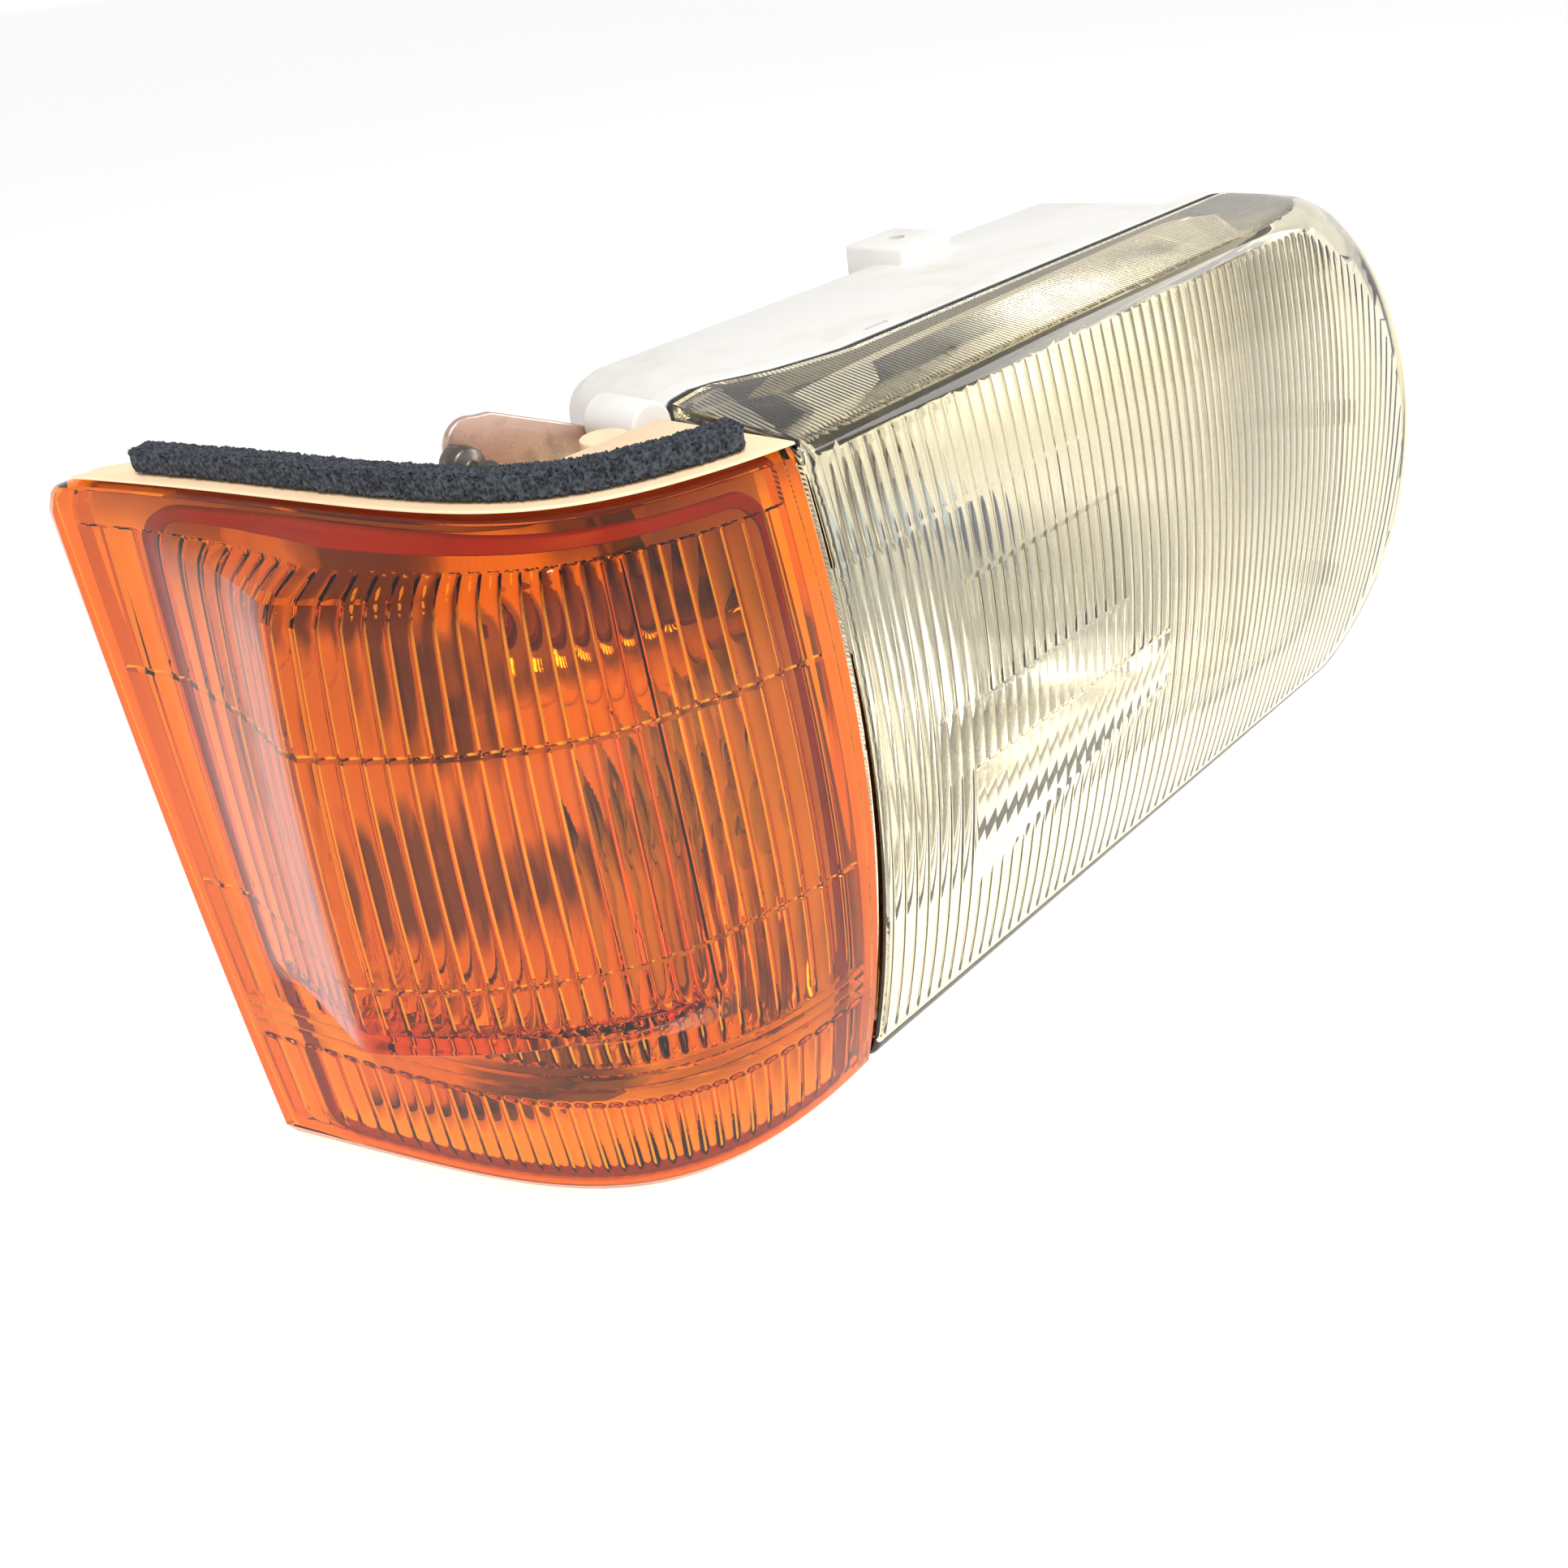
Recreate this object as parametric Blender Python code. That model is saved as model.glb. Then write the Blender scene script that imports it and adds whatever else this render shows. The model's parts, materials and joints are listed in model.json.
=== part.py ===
"""Left headlamp of a car with its wrap-around corner lamp.

Built in millimetres in the lamp's own frame, then scaled to metres and moved so that the origin is
the middle of the footprint: X runs inboard along the face, Y runs back into the car, Z is up.
X = 0 is the seam between the two lamps, Y = 0 the front edge of the seam, Z = 0 the lower edge.
"""
import math
import bpy
from mathutils import Vector

MM = 0.001
HEIGHT = 150.0          # lens height
BULGE = 10.0            # how far the faces swell forward at mid height
SEAM = 0.6              # half of the gap between the two lamps
LENS_WALL = 3.0
RIM_LINE = ((8.0, 43.0), (20.0, 46.0), (34.0, 38.5), (52.0, 34.0))  # lens rear edge, plan
TOP_CORNER = (52.0, 100.0)    # half axes of the inboard top corner, seen along Y
CREASE_CORNER = (95.0, 100.0) # the same where the face starts to fall back
LOW_CORNER = (36.0, 50.0)     # half axes of the inboard lower corner
INNER_END = 262.0
END_ROUND = 12.0        # rounding of the inner end
END_DROP = 10.0         # how much further the face falls back at the inboard top corner
FOOT_WIDTH = 22.0       # mounting blocks along X
FOOT_Y = (86.0, 107.0)  # mounting blocks from front to back
FOOT_TALL = 12.0

AXIS_X = 120.0          # optical axis
AXIS_Z = 75.0
FOCAL = 28.0
VERTEX_Y = 107.0
PIVOT = (42.0, 80.0, 124.0)   # fixed ball of the reflector
LEVER_DOWN = 75.0             # pivot to vertical adjuster
LEVER_ACROSS = 152.0          # pivot to horizontal adjuster
REAR_Y = 112.0                # outside of the housing's rear wall
NECK_R = 46.0
CLIP_HINGE = (112.5, 99.0)    # depth and height of the bulb clip's hinge
PARKING_STEP = 24.0           # parking bulb below and inboard of the main one, each way
STUD_BALL = (-35.0, 60.0, 149.0)          # foot of the ball stud on the bracket
BRACKET_SCREWS = ((13.5, 133.0), (13.5, 122.0))   # X and Z of the bracket's two screws
CORNER_BULB = (-24.0, 0.0, 75.0)          # axis of the corner lamp's bulb

CENTRE_X = 80.25         # middle of the footprint
CENTRE_Y = 75.8

# ---------------------------------------------------------------- materials


def material(name, colour, rough=0.5, metal=0.0, clear=0.0):
    """A plain Principled material."""
    mat = bpy.data.materials.new(name)
    mat.use_nodes = True
    shader = mat.node_tree.nodes["Principled BSDF"]
    shader.inputs["Base Color"].default_value = (*colour, 1.0)
    shader.inputs["Roughness"].default_value = rough
    shader.inputs["Metallic"].default_value = metal
    shader.inputs["Transmission Weight"].default_value = clear
    return mat


# ---------------------------------------------------------------- solids


def solid(name, points, faces, mat, origin=(0, 0, 0)):
    """One closed body from points in mm, with its origin where it turns."""
    mesh = bpy.data.meshes.new(name)
    base = Vector(origin)
    flat = [part for face in faces for part in flat_parts(points, face)]
    mesh.from_pydata([(Vector(p) - base) * MM for p in points], [], flat)
    mesh.materials.append(mat)
    obj = bpy.data.objects.new(name, mesh)
    obj.location = base * MM
    bpy.context.collection.objects.link(obj)
    if signed_volume(mesh) < 0:
        mesh.flip_normals()
    return obj


def flat_parts(points, face):
    """A four-sided face as it is, or as two triangles where it is twisted."""
    if len(face) != 4:
        return [face]
    a, b, c, d = (Vector(points[i]) for i in face)
    normal = (b - a).cross(c - a)
    if abs(normal.dot(d - a)) < 1e-6 * max(1.0, normal.length):
        return [face]
    return [(face[0], face[1], face[2]), (face[0], face[2], face[3])]


def signed_volume(mesh):
    """Volume by summed tetrahedra, negative when the faces look inward."""
    total = 0.0
    for face in mesh.polygons:
        corner = [mesh.vertices[i].co for i in face.vertices]
        for i in range(1, len(corner) - 1):
            total += corner[0].dot(corner[i].cross(corner[i + 1]))
    return total


def boolean(target, tool, operation):
    """Cut a tool out of a body, or fuse it on."""
    tool.hide_render = True
    tool.display_type = "WIRE"
    mod = target.modifiers.new(tool.name, "BOOLEAN")
    mod.operation = operation
    mod.solver = "EXACT"
    mod.object = tool
    return target


def cut(target, tool):
    return boolean(target, tool, "DIFFERENCE")


def fuse(target, tool):
    return boolean(target, tool, "UNION")


def sheet_solid(name, front, back, mat, origin=(0, 0, 0)):
    """A body between two sheets of points with the same rows and columns."""
    rows = len(front)
    cols = len(front[0])
    size = rows * cols
    points = [p for row in front for p in row] + [p for row in back for p in row]
    faces = []
    for r in range(rows - 1):
        for c in range(cols - 1):
            a = r * cols + c
            faces.append((a, a + 1, a + cols + 1, a + cols))
            faces.append((size + a, size + a + cols, size + a + cols + 1, size + a + 1))
    border = [c for c in range(cols)]
    border += [r * cols + cols - 1 for r in range(1, rows)]
    border += [(rows - 1) * cols + c for c in range(cols - 2, -1, -1)]
    border += [r * cols for r in range(rows - 2, 0, -1)]
    for i, a in enumerate(border):
        b = border[(i + 1) % len(border)]
        faces.append((b, a, size + a, size + b))
    return solid(name, points, faces, mat, origin)


def ring_solid(name, rings, mat, closed=False, origin=(0, 0, 0)):
    """A body skinned over loops of equal length; closed makes a tube of it."""
    count = len(rings[0])
    points = [p for ring in rings for p in ring]
    faces = []
    last = len(rings) if closed else len(rings) - 1
    for k in range(last):
        a0 = k * count
        b0 = ((k + 1) % len(rings)) * count
        for i in range(count):
            j = (i + 1) % count
            faces.append((a0 + i, a0 + j, b0 + j, b0 + i))
    if not closed:
        faces.append(tuple(range(count - 1, -1, -1)))
        faces.append(tuple((len(rings) - 1) * count + i for i in range(count)))
    return solid(name, points, faces, mat, origin)


def turned(name, profile, base, mat, axis="Y", sides=20, origin=None):
    """A profile of (radius, height) pairs turned about an axis; a closed profile if no end is at 0."""
    along = Vector({"X": (1, 0, 0), "Y": (0, 1, 0), "Z": (0, 0, 1)}[axis])
    side = Vector({"X": (0, 1, 0), "Y": (0, 0, 1), "Z": (1, 0, 0)}[axis])
    other = along.cross(side)
    points = []
    rows = []
    for radius, height in profile:
        centre = Vector(base) + along * height
        if radius < 1e-6:
            rows.append([len(points)] * sides)
            points.append(centre)
            continue
        rows.append([len(points) + i for i in range(sides)])
        for i in range(sides):
            angle = 2 * math.pi * (i + 0.5) / sides
            points.append(centre + radius * (side * math.cos(angle) + other * math.sin(angle)))
    faces = []
    pairs = list(zip(rows, rows[1:]))
    if profile[0][0] > 1e-6:
        pairs.append((rows[-1], rows[0]))
    for low, high in pairs:
        for i in range(sides):
            j = (i + 1) % sides
            ring = (low[i], low[j], high[j], high[i])
            face = tuple(dict.fromkeys(ring))
            if len(face) > 2:
                faces.append(face)
    return solid(name, points, faces, mat, base if origin is None else origin)


def bar(name, low, high, mat, origin=None):
    """A rectangular block between two corners."""
    x0, y0, z0 = low
    x1, y1, z1 = high
    front = [[(x0, y0, z0), (x1, y0, z0)], [(x0, y0, z1), (x1, y0, z1)]]
    back = [[(x0, y1, z0), (x1, y1, z0)], [(x0, y1, z1), (x1, y1, z1)]]
    return sheet_solid(name, front, back, mat, low if origin is None else origin)


def plate(name, outline, y0, y1, mat, origin=(0, 0, 0)):
    """A flat outline of (x, z) given a thickness along Y."""
    rings = [[(x, y0, z) for x, z in outline], [(x, y1, z) for x, z in outline]]
    return ring_solid(name, rings, mat, origin=origin)


def arc(cx, cz, rx, rz, start, end, steps):
    """Points on an ellipse from one angle to another, in degrees."""
    out = []
    for i in range(steps + 1):
        angle = math.radians(start + (end - start) * i / steps)
        out.append((cx + rx * math.cos(angle), cz + rz * math.sin(angle)))
    return out


def wire(name, path, radius, mat, sides=6, origin=(0, 0, 0)):
    """Round wire along a path of points, mitred at each bend."""
    path = [Vector(p) for p in path]
    side = Vector((0, 1, 0))
    rings = []
    for i, point in enumerate(path):
        before = (point - path[i - 1]).normalized() if i else None
        after = (path[i + 1] - point).normalized() if i + 1 < len(path) else None
        along = (before or after) + (after or before)
        along.normalize()
        u = (side - along * side.dot(along)).normalized()
        v = along.cross(u)
        stretch = 1.0 / max(along.dot(after or before), 0.5)
        ring = []
        for k in range(sides):
            angle = 2 * math.pi * k / sides
            ring.append(point + radius * (u * math.cos(angle) + v * stretch * math.sin(angle)))
        rings.append(ring)
    return ring_solid(name, rings, mat, origin=origin)


# ---------------------------------------------------------------- shared shapes


def lens_levels():
    """Heights of the headlamp face, closest together where its inner end curves."""
    rx, rz = LOW_CORNER
    low = [rz - rz * math.sin(math.radians(t)) for t in (90, 72, 54, 36, 18)]
    rx, rz = TOP_CORNER
    high = [HEIGHT - rz + rz * math.sin(math.radians(t)) for t in range(0, 91, 10)]
    return low + high


def inner_end(z):
    """X of the headlamp's inner end at a height."""
    rx, rz = LOW_CORNER if z < LOW_CORNER[1] else TOP_CORNER
    middle = LOW_CORNER[1] if z < LOW_CORNER[1] else HEIGHT - rz
    reach = math.sqrt(max(0.0, 1 - ((z - middle) / rz) ** 2))
    return INNER_END - rx + rx * reach


def swell(z):
    """How far a face stands forward at a height."""
    return BULGE * (1 - ((z - HEIGHT / 2) / (HEIGHT / 2)) ** 2)


def round_over(distance, radius):
    """How far a face falls back near its edge."""
    gap = max(0.0, radius - distance)
    return radius - math.sqrt(radius * radius - gap * gap)


def between(pairs, x):
    """Value at x on a line through (x, value) pairs, level beyond its ends."""
    if x <= pairs[0][0]:
        return pairs[0][1]
    for (x0, y0), (x1, y1) in zip(pairs, pairs[1:]):
        if x < x1:
            return y0 + (y1 - y0) * (x - x0) / (x1 - x0)
    return pairs[-1][1]


def rim_back(x):
    """Y of the rear edge of the headlamp lens; it sweeps back towards the seam."""
    return between(RIM_LINE, x)


def end_slack(z):
    """How far up the inboard top corner a height is, from 0 at its foot to 1 at the top edge."""
    rise = max(0.0, z - (HEIGHT - CREASE_CORNER[1])) / CREASE_CORNER[1]
    return 1 - math.sqrt(max(0.0, 1 - rise * rise))


def end_width(z):
    """Width of the rounded inner end at a height."""
    return END_ROUND + (CREASE_CORNER[0] - TOP_CORNER[0]) * end_slack(z)


def end_fall(gap, z):
    """How far the face falls back at a distance from the inner end."""
    share = max(0.0, 1 - gap / end_width(z))
    depth = END_ROUND + END_DROP * end_slack(z)
    return depth * (1 - math.sqrt(1 - share * share))


def face_sheets(inset, depth):
    """Front and back sheets of the headlamp lens, drawn in by an inset."""
    front = []
    back = []
    for z in lens_levels():
        right = inner_end(z) - inset
        left = SEAM + inset
        level = inset + z * (HEIGHT - 2 * inset) / HEIGHT
        edge = min(level - inset, HEIGHT - inset - level)
        fronts = []
        backs = []
        rears = (8.0 + inset, 9.5 + inset, 12.0 + inset, 20.0, 34.0, 52.0)
        for gap, x in zip((0.0, 1.0, 3.0, 17.0, 31.0, 51.0), rears):
            y = round_over(edge, 4.0) + round_over(gap, 3.0)
            fronts.append((left + gap, y + inset - swell(z), level))
            backs.append((x, rim_back(x - inset) + depth, level))
        for share in (1.0, 0.6, 0.25, 0.04, 0.0):
            gap = end_width(z) * share
            y = min(round_over(edge, 4.0) + end_fall(gap, z), END_ROUND + 1.4 * END_DROP * end_slack(z))
            fronts.append((right - gap, y + inset - swell(z), level))
            backs.append((right - gap, RIM_LINE[-1][1] + depth, level))
        front.append(fronts)
        back.append(backs)
    return front, back


def bowl_loop(x0, x1, z0, z1, low, reach, corner, y, stations=None):
    """Loop with the headlamp's outline seen from the front; y is a depth or a function of x."""
    edge = arc(x0 + corner, z0 + corner, corner, corner, 180, 270, 2)
    left = x0 + corner
    stations = stations or (left + 12.0, left + 26.0, left + 44.0)
    edge += [(x, z0) for x in stations]
    edge += arc(x1 - low[0], z0 + low[1], low[0], low[1], 270, 342, 4)
    edge += arc(x1 - reach, z0 + low[1], reach, z1 - z0 - low[1], 0, 90, 9)
    edge += [(x, z1) for x in stations[::-1]]
    edge += arc(x0 + corner, z1 - corner, corner, corner, 90, 180, 2)
    edge += [(x0, z0 + (z1 - z0) * t) for t in (0.67, 0.33)]
    return [(x, y(x) if callable(y) else y, z) for x, z in edge]


def rim_loop(inset, gap):
    """Loop along the rear edge of the lens."""
    low = (LOW_CORNER[0] - inset * 0.7, LOW_CORNER[1] - inset)
    return bowl_loop(8.0 + inset, INNER_END - inset, inset, HEIGHT - inset, low,
                     TOP_CORNER[0] - inset * 0.7, 3.0, lambda x: rim_back(x) + gap,
                     (20.0, 34.0, 52.0))


def bowl_ring(inset, y, left=24.0):
    """Loop of the headlamp housing behind its rim, on one depth."""
    low = (LOW_CORNER[0], LOW_CORNER[1] - 4 - inset)
    return bowl_loop(left + inset, 258.0 - inset, 4.0 + inset, 146.0 - inset, low,
                     TOP_CORNER[0] - 6, 8.0, y)


# corner lamp: plan curves as cubic Bezier points, at the top and at the bottom
FACE_TOP = ((-0.9, -0.4), (-66.3, 9.6), (-53.7, 38.1), (-79.5, 126.0))
FACE_LOW = ((-0.9, -0.4), (-68.8, -7.2), (-75.5, 29.8), (-101.5, 99.0))
WALL_TOP = ((-2.0, 36.5), (-56.0, 34.0), (-46.0, 40.0), (-62.5, 119.0))
WALL_LOW = ((-2.0, 36.5), (-62.0, 34.0), (-56.0, 40.0), (-85.0, 94.0))
PANEL_PLAN = ((0.0, 0.0), (0.20, 0.0), (0.45, 7.0), (0.70, 17.5), (0.92, 0.0), (1.0, 0.0))
PANEL_LOW = 45.0         # raised panel on the corner lens, from this height
PANEL_TOP = 148.0        # to this one
FLANK = 190.0            # length of the plan curve
TAIL_START = 0.8         # share from which the rear edge is drawn out
TAIL_LOW = -2.0          # by this much at the bottom
TAIL_TOP = 12.0          # and by this much at the top
TAIL_ROUND = 8.0
CORNER_WALL = 2.6
FOAM_DEPTHS = (3.0, 10.0)      # front and back of the foam strip, behind the lens's face
FOAM_SHARES = (0.045, 0.95)    # its ends
LIP_DEPTH = 0.4          # how far behind the lens's face the tray's lip ends
LIP_LOW = HEIGHT + 0.35  # underside of the lip, just over the lens's top edge
LIP_TOP = HEIGHT + 0.9
CORNER_SHARES = (0.0, 0.08, 0.20, 0.29, 0.37, 0.45, 0.54, 0.62, 0.70, 0.78, 0.85, 0.92, 1.0)


def bezier(points, s):
    """Point and direction of a plan curve."""
    a, b, c, d = (Vector(p) for p in points)
    r = 1 - s
    place = a * r ** 3 + b * 3 * r * r * s + c * 3 * r * s * s + d * s ** 3
    along = (b - a) * 3 * r * r + (c - b) * 6 * r * s + (d - c) * 3 * s * s
    return place, along.normalized()


def corner_share(s, z):
    """Share of the plan curve; the flank's rear edge leans back with height and its top is rounded."""
    reach = TAIL_LOW + (TAIL_TOP - TAIL_LOW) * z / HEIGHT - round_over(max(0.0, HEIGHT - z), TAIL_ROUND)
    return s + max(0.0, s - TAIL_START) / (1 - TAIL_START) * reach / FLANK


def corner_panel(s, z, inset=0.0):
    """How far the raised panel stands out of the corner lens; an inset gives its inner skin."""
    rise = min((z - PANEL_LOW - inset) / 6.0, (PANEL_TOP - inset - z) / 8.0)
    return between(PANEL_PLAN, s) * max(0.0, min(1.0, rise))


def corner_face(s, z, depth=0.0, proud=0.0):
    """Point of the corner lens at a share of its length and a height, drawn in by a depth."""
    t = z / HEIGHT
    curve = corner_share(s, z)
    low, low_dir = bezier(FACE_LOW, curve)
    top, top_dir = bezier(FACE_TOP, curve)
    place = low.lerp(top, t)
    along = low_dir.lerp(top_dir, t).normalized()
    outward = Vector((-along.y, along.x))
    if s < 0.02:
        outward = Vector((0.0, -1.0))
    place = place + outward * (swell(z) * (1 - 0.8 * s * s) + proud - depth)
    return (min(place.x, -SEAM + 0.2), place.y, z)


def corner_wall(s, z, forward=0.0):
    """Point of the corner housing's back wall."""
    curve = corner_share(s, z)
    place = bezier(WALL_LOW, curve)[0].lerp(bezier(WALL_TOP, curve)[0], z / HEIGHT)
    along = bezier(WALL_TOP, curve)[1]
    place = place + Vector((-along.y, along.x)) * forward
    return (min(place.x, -SEAM), place.y, z)


def shares(low, high, count):
    return [low + (high - low) * i / (count - 1) for i in range(count)]


# ---------------------------------------------------------------- headlamp shell


def headlamp_lens(glass):
    """Pressed glass tray, open at the back."""
    front, back = face_sheets(0.0, 0.0)
    lens = sheet_solid("headlamp_lens", front, back, glass)
    front, back = face_sheets(LENS_WALL, 8.0)
    return cut(lens, sheet_solid("lens_hollow", front, back, glass))


def lens_seal(rubber):
    """Black ring between the lens and the housing."""
    rings = [rim_loop(0.4, 0.5), rim_loop(0.4, 3.3), rim_loop(4.4, 3.3), rim_loop(4.4, 0.5)]
    return ring_solid("lens_seal", rings, rubber, closed=True)


def headlamp_housing(plastic):
    """Bowl with a deep rim, a flat rear wall, a neck and the places where things are fixed."""
    rings = [
        bowl_ring(10.0, REAR_Y), bowl_ring(1.5, 98.0), bowl_ring(0.0, 59.0), rim_loop(2.8, 10.5),
        rim_loop(2.8, 8.6), rim_loop(0.2, 8.4), rim_loop(0.2, 3.6), rim_loop(4.2, 3.6),
        rim_loop(5.8, 7.5), bowl_ring(3.0, 57.0), bowl_ring(4.5, 97.0), bowl_ring(12.0, REAR_Y - 3.0)]
    body = ring_solid("headlamp_housing", rings, plastic)
    centre = (AXIS_X, 0, AXIS_Z)
    neck = [(40.5, REAR_Y - 1.5), (40.5, REAR_Y + 14.0), (NECK_R, REAR_Y + 14.0), (NECK_R, REAR_Y - 1.5)]
    fuse(body, turned("neck_tube", neck, centre, plastic, sides=40))
    for i in range(3):
        angle = math.radians(30 + 120 * i)
        x = AXIS_X + (NECK_R + 0.5) * math.cos(angle)
        z = AXIS_Z + (NECK_R + 0.5) * math.sin(angle)
        lug = [(0, 118.0), (2.6, 118.0), (2.6, 121.0), (0, 121.0)]
        fuse(body, turned("neck_lug_%d" % (i + 1), lug, (x, 0, z), plastic, sides=8))
    boss = [(0, 43.5), (5.5, 43.5), (5.5, 59.6), (0, 59.6)]
    fuse(body, turned("corner_boss", boss, (2.4, 0, 146.5), plastic, sides=16))
    fuse(body, bar("boss_web", (2.0, 51.0, 143.0), (12.0, 58.0, 148.0), plastic))
    fuse(body, bar("bracket_pad", (8.5, 53.0, 117.0), (20.0, 59.6, 139.0), plastic))
    cut(body, bar("rim_slot", (66.0, 40.5, 130.0), (74.0, 41.8, 160.0), plastic))
    for z, x in ((PIVOT[2], PIVOT[0] + LEVER_ACROSS), (PIVOT[2] - LEVER_DOWN, PIVOT[0])):
        hole = [(0, 100.0), (4.9, 100.0), (4.9, 120.0), (0, 120.0)]
        cut(body, turned("adjuster_hole_%d" % x, hole, (x, 0, z), plastic, sides=16))
    housing_ears(body, plastic)
    bore = [(0, 90.0), (42.5, 90.0), (42.5, 140.0), (0, 140.0)]
    return cut(body, turned("neck_bore", bore, centre, plastic, sides=40))


def housing_ears(body, plastic):
    """Three drilled blocks by which the lamp is bolted to the car; the lower two are also its feet."""
    ears = (("ear_low_1", 70.0, 0.0), ("ear_low_2", 200.0, 0.0), ("ear_top", 145.0, 138.0))
    middle = (FOOT_Y[0] + FOOT_Y[1]) / 2 + 0.5
    half = FOOT_WIDTH / 2
    for name, x, z in ears:
        fuse(body, bar(name, (x - half, FOOT_Y[0], z), (x + half, FOOT_Y[1], z + FOOT_TALL), plastic))
        start, end = (-2.0, 4.2) if z < AXIS_Z else (7.0, 14.0)
        hole = [(0, start), (2.4, start), (2.4, end), (0, end)]
        cut(body, turned(name + "_hole", hole, (x, middle, z), plastic, axis="Z", sides=12))


def lens_clips(steel):
    """Spring clips round the inner end, holding the lens rim on the housing's flange."""
    profile = [(29.5, 0.4), (29.5, 1.2), (43.9, 1.2), (43.9, -1.8), (43.1, -1.8), (43.1, 0.4)]
    for i, degrees in enumerate((-38.0, 12.0, 45.0)):
        angle = math.radians(degrees)
        rx, rz = LOW_CORNER if degrees < 0 else TOP_CORNER
        middle = Vector((INNER_END - rx, LOW_CORNER[1]))
        place = middle + Vector((rx * math.cos(angle), rz * math.sin(angle)))
        along = Vector((-rx * math.sin(angle), rz * math.cos(angle))).normalized()
        out = Vector((along.y, -along.x))
        loops = []
        for edge in (-4.0, 4.0):
            loop = [(place + along * edge + out * lift, y) for y, lift in profile]
            loops.append([(q.x, y, q.y) for q, y in loop])
        ring_solid("lens_clip_%d" % (i + 1), loops, steel)


# ---------------------------------------------------------------- reflector


def dish_top(x):
    """Upper edge of the bowl, which drops under the housing's curved inner corner."""
    reach = max(0.0, x - (INNER_END - CREASE_CORNER[0])) / 86.0
    return min(137.0, 48.0 + 91.0 * math.sqrt(1 - reach * reach))


def dish_sheets(offset, front_y):
    """Sheets of the parabolic bowl: the wall follows the parabola, the corners stay flat."""
    xs = shares(34.0 - offset, 206.0 + offset, 17)
    steps = shares(0.0, 1.0, 13)
    grid = [[(x, 13.0 - offset + (dish_top(x) + 2 * offset - 13.0) * t) for x in xs] for t in steps]
    front = [[(x, front_y, z) for x, z in line] for line in grid]
    back = []
    for line in grid:
        row = []
        for x, z in line:
            square = (x - AXIS_X) ** 2 + (z - AXIS_Z) ** 2
            row.append((x, max(VERTEX_Y - square / (4 * FOCAL), 45.0) + offset, z))
        back.append(row)
    return front, back


def parking_axis():
    """Foot of the parking bulb's axis, diagonally below the main bulb."""
    return (AXIS_X + PARKING_STEP, 0, AXIS_Z - PARKING_STEP)


def reflector(silver):
    """Aluminised bowl with a bulb collar and three towers behind it."""
    front, back = dish_sheets(2.0, 40.0)
    body = sheet_solid("reflector", front, back, silver, PIVOT)
    front, back = dish_sheets(0.0, 30.0)
    px, py, pz = PIVOT
    tower = [(0, 46.0), (10.5, 46.0), (10.5, py + 2.5), (7.44, py + 2.5)]
    tower += [(7.85 * math.cos(t), py - 7.85 * math.sin(t)) for t in (0.0, 0.5, 1.0, 1.35)]
    tower += [(0, py - 7.85)]
    fuse(body, turned("pivot_tower", tower, (px, 0, pz), silver))
    nut_tower = [(0, 46.0), (7.0, 46.0), (7.0, 74.6), (4.2, 74.6), (4.2, 49.0), (0, 49.0)]
    fuse(body, turned("down_tower", nut_tower, (px, 0, pz - LEVER_DOWN), silver, sides=16))
    fuse(body, turned("across_tower", nut_tower, (px + LEVER_ACROSS, 0, pz), silver, sides=16))
    side_bore = [(0, 60), (6.0, 60), (6.0, 105), (0, 105)]
    cut(body, turned("parking_bore", side_bore, parking_axis(), silver, sides=16))
    centre = (AXIS_X, 0, AXIS_Z)
    collar = [(0, 95.0), (25.0, 95.0), (25.0, 108.1), (0, 108.1)]
    fuse(body, turned("bulb_collar", collar, centre, silver, sides=28))
    for side in (-1, 1):
        x = AXIS_X + side * 22.0
        lug = bar("hinge_lug_%d" % (side + 2), (x - 1.5, 100.0, 92.0), (x + 1.5, 115.0, 102.0), silver)
        fuse(body, lug)
    cut(body, sheet_solid("dish_hollow", front, back, silver))
    cut(body, turned("bulb_bore", [(0, 80), (16.0, 80), (16.0, 120), (0, 120)], centre, silver, sides=28))
    eye = [(0, AXIS_X - 40), (1.3, AXIS_X - 40), (1.3, AXIS_X + 40), (0, AXIS_X + 40)]
    cut(body, turned("hinge_eye", eye, (0, *CLIP_HINGE), silver, axis="X", sides=10))
    return body


def ball_profile(radius, low, high, steps=6):
    """Arc of a ball between two heights, as (radius, height) pairs."""
    start = math.asin(low / radius)
    end = math.asin(high / radius)
    angles = [start + (end - start) * i / steps for i in range(steps + 1)]
    return [(radius * math.cos(a), radius * math.sin(a)) for a in angles]


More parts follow.
